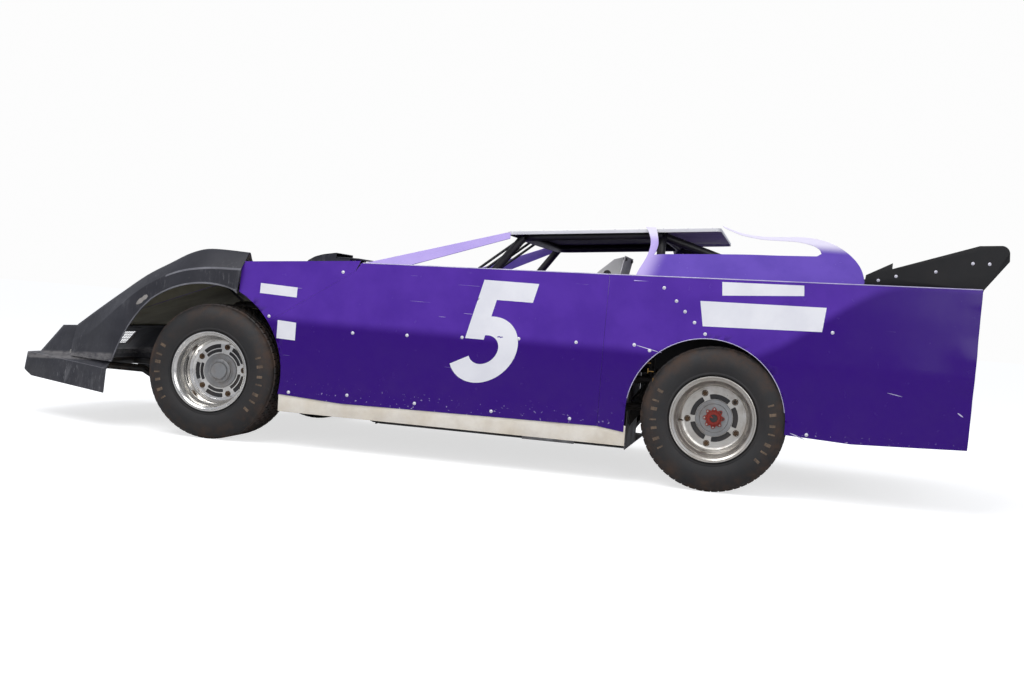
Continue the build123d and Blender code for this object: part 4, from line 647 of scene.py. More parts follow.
class Shape:
    """A bmesh, and the few moves that this car's pieces are made with."""

    sharp_angle = radians(58)
    slight_angle = radians(9)

    def __init__(self) -> None:
        """Start with nothing."""
        self.bm = bmesh.new()
        self.painted = 0

    @classmethod
    def copy_of(cls, node: str) -> "Shape":
        """A CAD node's mesh with its loose triangles merged into whole faces.

        Args:
            node: the CAD node.

        Returns:
            A new shape.
        """
        shape = cls()
        shape.bm.from_mesh(frame["nodes"][node].data)
        bmesh.ops.remove_doubles(shape.bm, verts=shape.bm.verts, dist=2e-5)
        bmesh.ops.dissolve_limit(shape.bm, angle_limit=radians(0.4), verts=shape.bm.verts, edges=shape.bm.edges)
        return shape

    def paint(self, index: int) -> None:
        """Give the faces made since the last call a material of the piece's list.

        Args:
            index: the material's place in the list.
        """
        self.bm.faces.ensure_lookup_table()
        for face in self.bm.faces[self.painted:]:
            face.material_index = index
        self.painted = len(self.bm.faces)

    def rod(self, start: Point, end: Point, radius: float, sides: int = 16, end_radius: float | None = None) -> None:
        """A round bar, or a cone where its two radii differ.

        Args:
            start, end: the middles of its two ends.
            radius: its radius at the start.
            sides: flats round it.
            end_radius: its radius at the end, the same where none is given.
        """
        first, last = Vector(start), Vector(end)
        run = last - first
        place = Matrix.Translation((first + last) / 2) @ run.to_track_quat("Z", "Y").to_matrix().to_4x4()
        bmesh.ops.create_cone(self.bm, cap_ends=True, segments=sides, radius1=radius,
                              radius2=radius if end_radius is None else end_radius, depth=run.length, matrix=place)

    def block(self, low: Point, high: Point, bevel: float = 0.0) -> None:
        """A box with its edges broken.

        Args:
            low, high: two opposite corners.
            bevel: how far its edges are cut back, not at all where none is given.
        """
        size = [top - bottom for bottom, top in zip(low, high)]
        place = Matrix.Translation(on_way(low, high, 0.5)) @ Matrix.Diagonal((*size, 1))
        made = bmesh.ops.create_cube(self.bm, size=1.0, matrix=place)
        if bevel:
            edges = list({edge for vert in made["verts"] for edge in vert.link_edges})
            bmesh.ops.bevel(self.bm, geom=edges, offset=bevel, segments=2, profile=0.5, affect="EDGES", material=-1)

    def quad(self, corners: Sequence[Pair], columns: int, rows: int) -> None:
        """A grid of faces between four corners.

        Args:
            corners: X and Z of each, from an upper one across the top and back along the foot.
            columns, rows: faces in each direction.
        """
        made = bmesh.ops.create_grid(self.bm, x_segments=columns, y_segments=rows, size=0.5)
        for vert in made["verts"]:
            across, down = vert.co.x + 0.5, 0.5 - vert.co.y
            x, z = on_way(on_way(corners[0], corners[1], across), on_way(corners[3], corners[2], across), down)
            vert.co = (x, 0, z)

    def turned(self, profile: Sequence[Pair], centre: Vector, axis: Vector, steps: int = 64) -> None:
        """A profile of (along, radius) pairs, spun once round an axis.

        Args:
            profile: the pairs, from one end to the other.
            centre: where along is 0.
            axis: the way that along counts.
            steps: faces round it.
        """
        side = axis.orthogonal().normalized()
        verts = [self.bm.verts.new(centre + axis * along + side * radius) for along, radius in profile]
        edges = [self.bm.edges.new(pair) for pair in zip(verts, verts[1:])]
        bmesh.ops.spin(self.bm, geom=verts + edges, cent=centre, axis=axis, angle=2 * pi, steps=steps, use_merge=True)

    def plate(self, outline: Sequence[Vector], through: Vector) -> None:
        """A flat outline, drawn out through a thickness.

        Args:
            outline: its corners in order.
            through: the thickness and its direction.
        """
        face = self.bm.faces.new([self.bm.verts.new(point) for point in outline])
        made = bmesh.ops.extrude_face_region(self.bm, geom=[face])
        moved = [item for item in made["geom"] if isinstance(item, bmesh.types.BMVert)]
        bmesh.ops.translate(self.bm, verts=moved, vec=through)

    def path(self, points: Sequence[Vector], radius: float, sides: int) -> None:
        """A round bar through points, mitred at each, made by bridging its rings.

        Args:
            points: the middles of its rings.
            radius: its radius.
            sides: flats round it.
        """
        rings = []
        for index, point in enumerate(points):
            back = points[index] - points[index - 1] if index else points[1] - points[0]
            ahead = points[index + 1] - points[index] if index + 1 < len(points) else back
            facing = (back.normalized() + ahead.normalized()).to_track_quat("Z", "Y").to_matrix().to_4x4()
            made = bmesh.ops.create_circle(self.bm, cap_ends=index in (0, len(points) - 1), segments=sides,
                                           radius=radius, matrix=Matrix.Translation(point) @ facing)
            ring = set(made["verts"])
            rings.append([edge for edge in self.bm.edges if edge.verts[0] in ring and edge.verts[1] in ring])
        for first, second in zip(rings, rings[1:]):
            bmesh.ops.bridge_loops(self.bm, edges=first + second)

    def cut(self, place: Vector, normal: Vector) -> None:
        """Cut every face along a plane, and keep both sides."""
        bmesh.ops.bisect_plane(self.bm, geom=[*self.bm.verts, *self.bm.edges, *self.bm.faces],
                               plane_co=place, plane_no=normal, dist=MERGE)

    def sliced(self, low: Vector, high: Vector, step: float) -> None:
        """Cut every face by planes across X and Z, so that a flat sheet can bend.

        Args:
            low, high: corners of the box that the planes divide.
            step: distance between planes.
        """
        for normal in (Vector((1, 0, 0)), Vector((0, 0, 1))):
            length = (high - low).dot(normal)
            count = int(length / step)
            for index in range(1, count + 1):
                self.cut(low + normal * (index * length / (count + 1)), normal)

    def soften(self, crease: float, rim: float, crease_material: int = -1) -> None:
        """Round a moulded or folded sheet.

        Args:
            crease: how far its folds are cut back, not at all where 0.
            rim: how far its cut edges are.
            crease_material: index of the new faces' material, their neighbours' where -1.
        """
        sharp = [edge for edge in self.bm.edges if edge.is_manifold and edge.calc_face_angle() > self.sharp_angle]
        bmesh.ops.bevel(self.bm, geom=sharp, offset=rim, segments=1, profile=0.5, affect="EDGES",
                        material=crease_material, clamp_overlap=True)
        folds = [edge for edge in self.bm.edges if edge.is_manifold
                 and self.slight_angle < edge.calc_face_angle() < self.sharp_angle and edge.calc_length() > 0.01]
        if crease:
            bmesh.ops.bevel(self.bm, geom=folds, offset=crease, segments=2, profile=0.5, affect="EDGES",
                            material=crease_material, clamp_overlap=True)

    def close(self) -> None:
        """Join doubled points, and turn the closed shells' faces outwards."""
        bmesh.ops.remove_doubles(self.bm, verts=self.bm.verts, dist=MERGE)
        bmesh.ops.recalc_face_normals(self.bm, faces=self.bm.faces)

    def mesh(self, name: str) -> Mesh:
        """A mesh of it, after which it is freed.

        Args:
            name: the mesh's name.

        Returns:
            The mesh.
        """
        made = bpy.data.meshes.new(name)
        self.bm.to_mesh(made)
        self.bm.free()
        return made


def placed(name: str, data: ID) -> Object:
    """A new object of the scene.

    Args:
        name: its name.
        data: its mesh, light or camera.

    Returns:
        The object.
    """
    made = bpy.data.objects.new(name, data)
    bpy.context.scene.collection.objects.link(made)
    return made


def publish(shape: Shape, name: str, finishes: Sequence[Finish], body: str = CHASSIS,
            stands_for: Sequence[str] = (), smooth: float = 38.0) -> Object:
    """Make a piece of a shape.

    Args:
        shape: its finished bmesh, which is freed.
        name: the piece's name.
        finishes: its materials, in the order of its faces' indices.
        body: the CAD body that it rides on.
        stands_for: CAD nodes that it replaces.
        smooth: degrees up to which an edge is shaded smooth.

    Returns:
        The new object.
    """
    shape.close()
    mesh = shape.mesh(name)
    mesh.shade_smooth()
    mesh.set_sharp_from_angle(angle=radians(smooth))
    piece = placed(name, mesh)
    for finish in finishes:
        mesh.materials.append(material_of(finish))
    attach(piece, body)
    if stands_for:
        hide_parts(*stands_for)
    log.info("%s: %d faces on %s", name, len(mesh.polygons), body)
    return piece


def dress(finish: Finish, nodes: Sequence[str]) -> None:
    """Give carried-over CAD nodes their finish.

    Args:
        finish: the finish.
        nodes: the nodes that take it.
    """
    for node in nodes:
        materials = frame["nodes"][node].data.materials
        materials.clear()
        materials.append(material_of(finish))


@dataclass(frozen=True)
class Dent:
    """A shallow dent or bulge in a side sheet: its place, size and depth inwards, in metres."""

    x: float
    z: float
    width: float
    height: float
    depth: float

    def at(self, x: float, z: float) -> float:
        """How far it pushes the sheet in at a place."""
        return self.depth * exp(-(((x - self.x) / self.width) ** 2) - ((z - self.z) / self.height) ** 2)


@dataclass
class SideSheets:
    """Fenders, doors and quarters as raced sheets, with their rivets, race number, stickers and scratches."""

    grid: float = 0.045
    side_from: float = 0.925
    side_plane: float = 0.965
    ray_from: float = 1.3
    ray_length: float = 0.45
    bend: float = 0.665
    bend_ease: float = 0.0016
    ripple: float = 0.0011
    stay_reach: float = 0.11
    film_wall: float = 0.0004
    dents: tuple[Dent, ...] = (
        Dent(-2.02, 0.52, 0.10, 0.22, 0.006), Dent(-2.38, 0.44, 0.10, 0.12, 0.008),
        Dent(-2.10, 0.95, 0.30, 0.10, -0.004), Dent(-1.75, 0.45, 0.10, 0.12, 0.006),
        Dent(-2.46, 0.75, 0.06, 0.30, -0.006), Dent(-0.30, 0.40, 0.45, 0.12, 0.004),
        Dent(0.45, 0.50, 0.30, 0.20, 0.004), Dent(-1.20, 0.86, 0.30, 0.08, 0.003),
        Dent(0.80, 0.75, 0.12, 0.12, -0.003),
    )
    stays: tuple[Pair, ...] = ((-2.25, 0.64), (-1.76, 0.64), (-0.70, 0.64), (-0.25, 0.64))
    rivets: tuple[Pair, ...] = (
        (1.014, 0.670), (0.636, 0.928), (0.554, 0.621), (0.265, 0.633), (-0.022, 0.647), (-0.312, 0.665),
        (-0.602, 0.672), (-0.890, 0.684), (-0.967, 0.663), (0.877, 0.286), (-1.011, 0.974), (-1.076, 0.914),
        (-1.122, 0.866), (-1.172, 0.817), (-1.228, 0.765), (-1.827, 0.822), (-1.747, 0.325),
        (0.56, 0.30), (0.20, 0.292), (-0.20, 0.290), (-0.60, 0.292),
    )
    rivet_profile: tuple[Pair, ...] = ((-0.001, 0.0), (-0.001, 0.0085), (0.0008, 0.0085), (0.0012, 0.0055),
                                       (0.0032, 0.0042), (0.004, 0.0))
    stickers: tuple[tuple[Pair, Pair, Pair, Pair], ...] = (
        # corners in X and Z from the upper front one: a square, a bar and two banners
        ((0.964, 0.654), (0.862, 0.648), (0.862, 0.556), (0.964, 0.560)),
        ((1.076, 0.838), (0.872, 0.830), (0.872, 0.778), (1.076, 0.786)),
        ((-1.288, 1.024), (-1.677, 1.036), (-1.681, 0.986), (-1.294, 0.958)),
        ((-1.191, 0.924), (-1.790, 0.938), (-1.778, 0.821), (-1.213, 0.802)),
    )
    scratches: tuple[tuple[Pair, Pair, float], ...] = (
        # two ends in X and Z, and the width between them
        ((-0.897, 0.684), (-1.027, 0.656), 0.004), ((-2.425, 0.495), (-2.452, 0.478), 0.007),
        ((-1.670, 0.326), (-1.743, 0.300), 0.006), ((-2.10, 0.56), (-2.17, 0.548), 0.003),
    )

    def push(self, x: float, z: float) -> float:
        """How far the sheet is pushed in at a place, nothing where a stay holds it.

        Args:
            x, z: the place.

        Returns:
            The depth in metres.
        """
        ease = self.bend_ease * exp(-((z - self.bend) / 0.05) ** 2)
        wave = self.ripple * (sin(5.1 * x + 3.7 * z) + 0.6 * sin(11.3 * x - 6.0 * z))
        free = 1.0
        for stay_x, stay_z in self.stays:
            free *= 1 - exp(-((x - stay_x) ** 2 + (z - stay_z) ** 2) / self.stay_reach ** 2)
        tail = held((-2.34 - x) / 0.14) ** 2
        crumple = tail * (0.004 + 0.005 * sin(21 * z + 2.0) + 0.003 * sin(47 * z))
        return free * (ease + wave + sum(dent.at(x, z) for dent in self.dents)) + crumple

    def sheet(self, node: str, name: str) -> Object:
        """One node's sheets, sliced and pushed out of true.

        Args:
            node: the CAD node.
            name: the piece's name.

        Returns:
            The new piece.
        """
        shape = Shape.copy_of(node)
        shape.sliced(*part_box(node), self.grid)
        for vert in shape.bm.verts:
            share = held((abs(vert.co.y) - self.side_from) / 0.012)
            vert.co.y -= (1 if vert.co.y > 0 else -1) * share * self.push(vert.co.x, vert.co.z)
        for face in shape.bm.faces:
            middle = face.calc_center_median()
            if abs(face.normal.y) < 0.7 and abs(face.normal.z) < 0.7 or abs(face.normal.x) > 0.5:
                face.material_index = 1
            elif face.normal.z < -0.5 or face.normal.y * middle.y < -0.5:
                face.material_index = 2
        return publish(shape, name, (PURPLE, CUT_EDGE, BARE), stands_for=[node])

    def build(self) -> None:
        """Make the three sheets of each side, then what is fixed to them."""
        sheets = {"fenders": "fender_sheets", "doors": "door_sheets", "quarters": "quarter_sheets"}
        self.trees = [faces_of(self.sheet(node, name)) for node, name in sheets.items()]
        self.fasteners()
        for side in Side:
            self.race_number(side)
            self.plates(side)
            if side is Side.LEFT:
                self.scratch_marks(side)

    def on_sheet(self, x: float, z: float, side: Side) -> Vector:
        """The point of a side's outer face at a place.

        Args:
            x, z: the place.
            side: which side.

        Returns:
            The point, or one near the side's plane where no sheet is met.
        """
        for tree in self.trees:
            hit, *_ = tree.ray_cast(Vector((x, side.value * self.ray_from, z)), -side.out, self.ray_length)
            if hit is not None:
                return hit
        return Vector((x, side.value * self.side_plane, z))

    def fasteners(self) -> None:
        """Domed rivets with a washer, where the sheets are held."""
        shape = Shape()
        for side in Side:
            for x, z in self.rivets:
                shape.turned(self.rivet_profile, self.on_sheet(x, z, side), side.out, 14)
        publish(shape, "side_rivets", (RIVET,), smooth=50)

    def applied(self, shape: Shape, name: str, finish: Finish, side: Side, lift: float = 0.0006) -> None:
        """Lay a flat shape, drawn in X and Z, on a side's sheet as a thin film.

        Args:
            shape: the flat shape.
            name: the piece's name.
            finish: its finish.
            side: which side.
            lift: how far it stands off the sheet.
        """
        for vert in shape.bm.verts:
            vert.co.y = self.on_sheet(vert.co.x, vert.co.z, side).y + side.value * lift
        bmesh.ops.remove_doubles(shape.bm, verts=shape.bm.verts, dist=MERGE)
        for face in shape.bm.faces:
            face.normal_update()
            if face.normal.y * side.value < 0:
                face.normal_flip()
        bmesh.ops.solidify(shape.bm, geom=list(shape.bm.faces), thickness=self.film_wall)
        publish(shape, name, (finish,))

    def race_number(self, side: Side) -> None:
        """A plain slanted five of one stroke width: a bar, a stem and a bowl.

        Args:
            side: which side it goes on.
        """
        height, width, stroke, slant = 0.52, 0.28, 0.096, 0.24
        low, middle = 0.425, -0.125
        bowl_radius = 0.170
        bowl_z, top = low + bowl_radius, low + height
        shape = Shape()
        for (x0, z0), (x1, z1) in (((-width / 2, top - stroke), (width / 2, top)),
                                   ((-width / 2, bowl_z + 0.05), (-width / 2 + stroke, top - stroke))):
            shape.quad(((x0, z1), (x1, z1), (x1, z0), (x0, z0)), 8, 8)
        centre = Vector((width / 2 - bowl_radius, 0, bowl_z))
        start, end = radians(128), radians(-150)
        ring = [shape.bm.verts.new(centre + Vector((cos(start), 0, sin(start))) * radius)
                for radius in (bowl_radius - stroke, bowl_radius - stroke / 2, bowl_radius)]
        edges = [shape.bm.edges.new(pair) for pair in zip(ring, ring[1:])]
        bmesh.ops.spin(shape.bm, geom=ring + edges, cent=centre, axis=Vector((0, 1, 0)), angle=start - end, steps=40)
        for vert in shape.bm.verts:
            vert.co.x = middle - side.value * (vert.co.x + (vert.co.z - low) * slant)
        self.applied(shape, f"race_number_{side.word}", VINYL_WHITE, side)

    def plates(self, side: Side) -> None:
        """Blank stickers: a square one and a bar behind the front wheel, two banners over the rear arch.

        Args:
            side: which side.
        """
        shape = Shape()
        for corners in self.stickers:
            shape.quad(corners, 12, 6)
        self.applied(shape, f"blank_stickers_{side.word}", VINYL_WHITE, side)

    def scratch_marks(self, side: Side) -> None:
        """Long scratches through the film, thinner towards their ends.

        Args:
            side: which side.
        """
        shape = Shape()
        for start, end, width in self.scratches:
            made = bmesh.ops.create_grid(shape.bm, x_segments=6, y_segments=1, size=0.5)
            for vert in made["verts"]:
                share = vert.co.x + 0.5
                taper = width * (1 - abs(2 * share - 1) ** 3 * 0.8)
                x, z = on_way(start, end, share)
                vert.co = (x, 0, z + vert.co.y * taper)
        self.applied(shape, "film_scratches", HEM, side, 0.0004)


@dataclass
class BodyShell:
    """Nose, roof, windscreen posts, spoiler, sills, hood and deck, with their folds and cut edges softened."""

    hoop_x: float = -0.945

    def build(self) -> None:
        """Soften each moulded or folded node."""
        # The nose's rounded folds are painted pale: wear and a painted highlight
        self.soft("nose", "nose_shell", (PLASTIC, CREASE_WEAR_AND_HIGHLIGHT), Slot.PLASTIC, 0.006, 0.0016, 1)
        # Roof underside: near black ahead of the hoop; behind it a white with painted light
        self.soft("roof", "roof_sheet", (WHITE, ROOF_DARK_AHEAD, UNDERSIDE_PAINTED_LIGHT), Slot.WHITE, 0.003, 0.001)
        self.soft("windscreen_posts", "front_posts", (LILAC,), Slot.LILAC, 0.002, 0.0008)
        self.soft("spoiler", "tail_spoiler", (BLACK_SHEET,), Slot.SHEET, 0.002, 0.0008)
        self.soft("rockers", "sill_sheets", (CREAM,), Slot.CREAM, 0.004, 0.0008)
        # The hood's underside is pale olive: a painted reflection of lit ground
        self.soft("hood", "hood_sheet", (DECK_PURPLE, INSIDE_PAINTED_REFLECTION, INSIDE_PAINTED_REFLECTION), Slot.PURPLE, 0.01, 0.0008)
        self.soft("deck", "deck_sheet", (DECK_PURPLE, BARE, BARE), Slot.PURPLE, 0.01, 0.0008)

    def soft(self, node: str, name: str, finishes: Sequence[Finish], slot: Slot, crease: float, rim: float,
             crease_material: int = -1) -> None:
        """Round one node's folds and cut edges, and paint its underside where it has finishes for it.

        Args:
            node: the CAD node.
            name: the piece's name.
            finishes: the outer one, then one for the underside ahead of the hoop and one behind it.
            slot: the record's slot; not used.
            crease, rim: how far folds and cut edges are cut back.
            crease_material: index of the finish on the rounded edges.
        """
        shape = Shape.copy_of(node)
        shape.soften(crease, rim, crease_material)
        if len(finishes) > 2:
            shape.cut(Vector((self.hoop_x, 0, 0)), Vector((1, 0, 0)))
            for face in shape.bm.faces:
                face.normal_update()
                if face.normal.z < -0.5:
                    face.material_index = 1 if face.calc_center_median().x > self.hoop_x else 2
        publish(shape, name, finishes, stands_for=[node], smooth=30)


def arc(first: Pair, middle: Pair, last: Pair, steps: int) -> list[Pair]:
    """Points of the circular arc through three points, the first and the last with them.

    Args:
        first, middle, last: the three points.
        steps: how many pieces it is divided into.

    Returns:
        Its points.
    """
    (ax, az), (bx, bz), (cx, cz) = first, middle, last
    turn = 2 * (ax * (bz - cz) + bx * (cz - az) + cx * (az - bz))
    squares = [x * x + z * z for x, z in (first, middle, last)]
    ox = (squares[0] * (bz - cz) + squares[1] * (cz - az) + squares[2] * (az - bz)) / turn
    oz = (squares[0] * (cx - bx) + squares[1] * (ax - cx) + squares[2] * (bx - ax)) / turn
    start, end = atan2(az - oz, ax - ox), atan2(cz - oz, cx - ox)
    by = atan2(bz - oz, bx - ox)
    sweep = (end - start) % (2 * pi)
    if (by - start) % (2 * pi) > sweep:
        sweep -= 2 * pi
    reach = hypot(ax - ox, az - oz)
    return [(ox + reach * cos(start + sweep * step / steps), oz + reach * sin(start + sweep * step / steps))
            for step in range(steps + 1)]


def along(table: Sequence[Sequence[float]], place: float) -> list[float]:
    """A table's row at a place, on a smooth curve through its rows.

    Args:
        table: rows that begin with their place, in rising order.
        place: where the row is wanted.

    Returns:
        The row's values without its place.
    """
    last = len(table) - 1
    index = min(max(sum(row[0] <= place for row in table) - 1, 0), last - 1)
    start, end = table[index], table[index + 1]
    run = end[0] - start[0]
    share = held((place - start[0]) / run)
    values = []
    for column in range(1, len(start)):
        slopes = []
        for at in (index, index + 1):
            before, after = table[max(at - 1, 0)], table[min(at + 1, last)]
            slopes.append((after[column] - before[column]) / (after[0] - before[0]) * run)
        a, b, (m, n) = start[column], end[column], slopes
        values.append(a + share * m + share ** 2 * (3 * (b - a) - 2 * m - n) + share ** 3 * (2 * (a - b) + m + n))
    return values


def flowing(points: Sequence[Pair], steps: int) -> list[Pair]:
    """A smooth line through points, with a few steps between each two."""
    table = [(float(index), *point) for index, point in enumerate(points)]
    return [tuple(along(table, index / steps)) for index in range((len(points) - 1) * steps + 1)]


def eased(before: Pair, corner: Pair, after: Pair, reach: float, steps: int) -> list[Pair]:
    """A corner of an outline, rounded by a curve that starts and ends at a reach from it.

    Args:
        before, corner, after: the corner and its two neighbours.
        reach: how far from it the curve starts.
        steps: how many pieces it is divided into.

    Returns:
        The curve's points.
    """
    ends = []
    for other in (before, after):
        share = min(reach / hypot(other[0] - corner[0], other[1] - corner[1]), 0.45)
        ends.append(on_way(corner, other, share))
    points = []
    for step in range(steps + 1):
        t = step / steps
        points.append(tuple((1 - t) ** 2 * ends[0][axis] + 2 * t * (1 - t) * corner[axis] + t ** 2 * ends[1][axis]
                            for axis in (0, 1)))
    return points


def inset(line: Sequence[Pair], depth: float) -> list[Pair]:
    """An open outline's copy, moved to its right by a depth.

    Args:
        line: the outline.
        depth: how far it moves.

    Returns:
        The copy.
    """
    moved = []
    for index, point in enumerate(line):
        before, after = line[max(index - 1, 0)], line[min(index + 1, len(line) - 1)]
        run = hypot(after[0] - before[0], after[1] - before[1])
        moved.append((point[0] + (after[1] - before[1]) / run * depth, point[1] - (after[0] - before[0]) / run * depth))
    return moved


@dataclass
class Flares:
    """Front flares: smooth moulded shells over the wheels, painted pale at the shoulder crease and the arch's lip as
    wear and a painted highlight.
    """

    axle: Pair = (1.317, 0.355)
    foot: float = 0.356
    rise: float = 0.591
    hood_half: float = 0.560
    hood_line: tuple[Pair, Pair] = ((1.151, 0.943), (2.252, 0.523))
    pitch: float = 0.024
    thickness: float = 0.0035
    # Pale strips of the flares: partly rubbed wear, partly a painted highlight on the crease and the lip
    worn_strips: tuple[int, ...] = (15, 16, 18, 19)  # faces round the section at the crease, then at the lip
    worn_to: Pair = (1.60, 1.90)  # how far ahead the crease and the lip are painted pale
    rake: float = 0.024
    stations: tuple[tuple[float, ...], ...] = (
        # past the axle; foot y; crease y, share of the rise; ridge y, share; shelf share; inner share, y
        (-0.145, 0.985, 0.985, 0.920, 0.905, 1.098, 1.000, 0.998, 0.590),
        (0.020, 0.985, 0.985, 0.915, 0.900, 1.108, 1.014, 1.008, 0.590),
        (0.110, 0.985, 0.985, 0.898, 0.896, 1.098, 1.010, 1.002, 0.590),
        (0.200, 0.985, 0.984, 0.866, 0.890, 1.046, 0.978, 0.966, 0.590),
        (0.300, 0.984, 0.980, 0.799, 0.885, 0.951, 0.914, 0.895, 0.590),
        (0.440, 0.980, 0.970, 0.658, 0.875, 0.819, 0.802, 0.770, 0.592),
        (0.600, 0.950, 0.925, 0.450, 0.850, 0.635, 0.626, 0.600, 0.600),
        (0.760, 0.866, 0.848, 0.252, 0.800, 0.460, 0.454, 0.430, 0.612),
        (0.907, 0.790, 0.779, 0.130, 0.740, 0.301, 0.303, 0.310, 0.625),
    )
    patch: tuple[Pair, Pair] = ((1.760, 0.674), (1.698, 0.724))
    patch_widths: tuple[float, ...] = (0.004, 0.010, 0.013, 0.009, 0.012, 0.006)

    def __post_init__(self) -> None:
        """Work out the arch's line."""
        corners = [(self.axle[0] + x, self.axle[1] + z) for x, z in FRONT_ARCH]
        self.line = [point for index in (0, 2, 4) for point in arc(*corners[index:index + 3], 14)[index > 0:]]

    def arch_height(self, x: float) -> float:
        """Height of the arch's edge at a place, the flare's foot ahead of it.

        Args:
            x: the place along the car.

        Returns:
            The height.
        """
        for start, end in zip(self.line, self.line[1:]):
            if start[0] <= x <= end[0]:
                return max(height_on(start, end, x), self.foot)
        return self.foot

    def section(self, x: float) -> list[Pair]:
        """The outer outline in Y and Z at a place, from the hood's edge over the ridge to the arch's lip.

        Args:
            x: the place along the car.

        Returns:
            Pairs of Y and Z on the left side.
        """
        foot_y, crease_y, crease, ridge_y, ridge, shelf, inner, inner_y = along(self.stations, x - self.axle[0])
        crease_z, inner_z = self.foot + crease * self.rise, self.foot + inner * self.rise
        fold_z = min(height_on(*self.hood_line, x), inner_z - 0.02)
        low_z = self.arch_height(x)
        low_y = crease_y + (foot_y - crease_y) * (crease_z - low_z) / (crease_z - self.foot)
        corners = [(self.hood_half, fold_z), (inner_y, inner_z), (ridge_y - 0.055, self.foot + shelf * self.rise),
                   (ridge_y, self.foot + ridge * self.rise), (crease_y, crease_z), (low_y, low_z)]
        points = [corners[0]]
        for index, (reach, steps) in enumerate(((0.006, 2), (0.02, 3), (0.032, 6), (0.006, 2)), 1):
            points += eased(*corners[index - 1:index + 2], reach, steps)
        return points + [(low_y, low_z + 0.007), (low_y, low_z), (low_y - 0.012, low_z + 0.001)]

    def build(self) -> None:
        """Make both shells, the beads of their arches and the worn patch."""
        start, end = (self.axle[0] + self.stations[index][0] for index in (0, -1))
        count = round((end - start) / self.pitch)
        places = sorted({start + (end - start) * step / count for step in range(count + 1)}
                        | {x for x, z in self.line if self.axle[0] + 0.3 < x < self.axle[0] + 0.59})
        shape = Shape()
        for side in Side:
            self.shell(shape, side, places)
        publish(shape, "front_flares", (PLASTIC, CREASE_WEAR_AND_HIGHLIGHT, INSIDE_PAINTED_REFLECTION), stands_for=["flares"], smooth=34)
        # The arch's beads are painted pale: wear and a painted highlight
        shape = Shape()
        for side in Side:
            shape.path([Vector((x, self.section(x)[-2][0] * side.value, z)) for x, z in self.line
                        if x > start + self.rake and z > self.foot + 0.004], 0.0030, 8)
        publish(shape, "front_arch_beads", (CREASE_WEAR_AND_HIGHLIGHT,), smooth=60)
        self.worn_patch()

    def shell(self, shape: Shape, side: Side, places: Sequence[float]) -> None:
        """One side's closed shell: a ring at each place, faces between the rings and a cap at each end.

        Args:
            shape: where it goes.
            side: which side it is for.
            places: X of its rings, from the rear.
        """
        rings = []
        for x in places:
            outer = self.section(x)
            lean = self.rake * max(1 - (x - places[0]) / 0.12, 0.0)
            rings.append([shape.bm.verts.new((x + lean * held((0.99 - z) / 0.22), y * side.value, z))
                          for y, z in outer + inset(outer, self.thickness)[::-1]])
        size, half = len(rings[0]), len(rings[0]) // 2
        for first, second in zip(rings, rings[1:]):
            for index in range(size):
                after = (index + 1) % size
                face = shape.bm.faces.new([first[index], first[after], second[after], second[index]])
                # The strips at the crease and the lip are painted pale: wear and a painted highlight
                worn = index in self.worn_strips and first[0].co.x < self.worn_to[index > 16]
                face.material_index = 1 if worn else 2 * (index >= half)
        for ring in (rings[0], rings[-1]):
            for index in range(half - 1):
                shape.bm.faces.new([ring[index], ring[index + 1], ring[size - 2 - index], ring[size - 1 - index]])

    def worn_patch(self) -> None:
        """Where the left flare's film has been rubbed off beside the arch."""
        tree = faces_of(bpy.data.objects["front_flares"])
        shape = Shape()
        rows = []
        for index, width in enumerate(self.patch_widths):
            middle = on_way(*self.patch, index / (len(self.patch_widths) - 1))
            row = []
            for across in (-width, width):
                start = Vector((middle[0] + across * 0.6, BESIDE, middle[1] + across * 0.8))
                hit, *_ = tree.ray_cast(start, Vector((0, -1, 0)))
                row.append(shape.bm.verts.new(hit + Vector((0, 0.0008, 0))))
            rows.append(row)
        for first, second in zip(rows, rows[1:]):
            shape.bm.faces.new([first[0], first[1], second[1], second[0]])
        bmesh.ops.solidify(shape.bm, geom=list(shape.bm.faces), thickness=0.0006)
        publish(shape, "worn_patch", (RUBBED,))


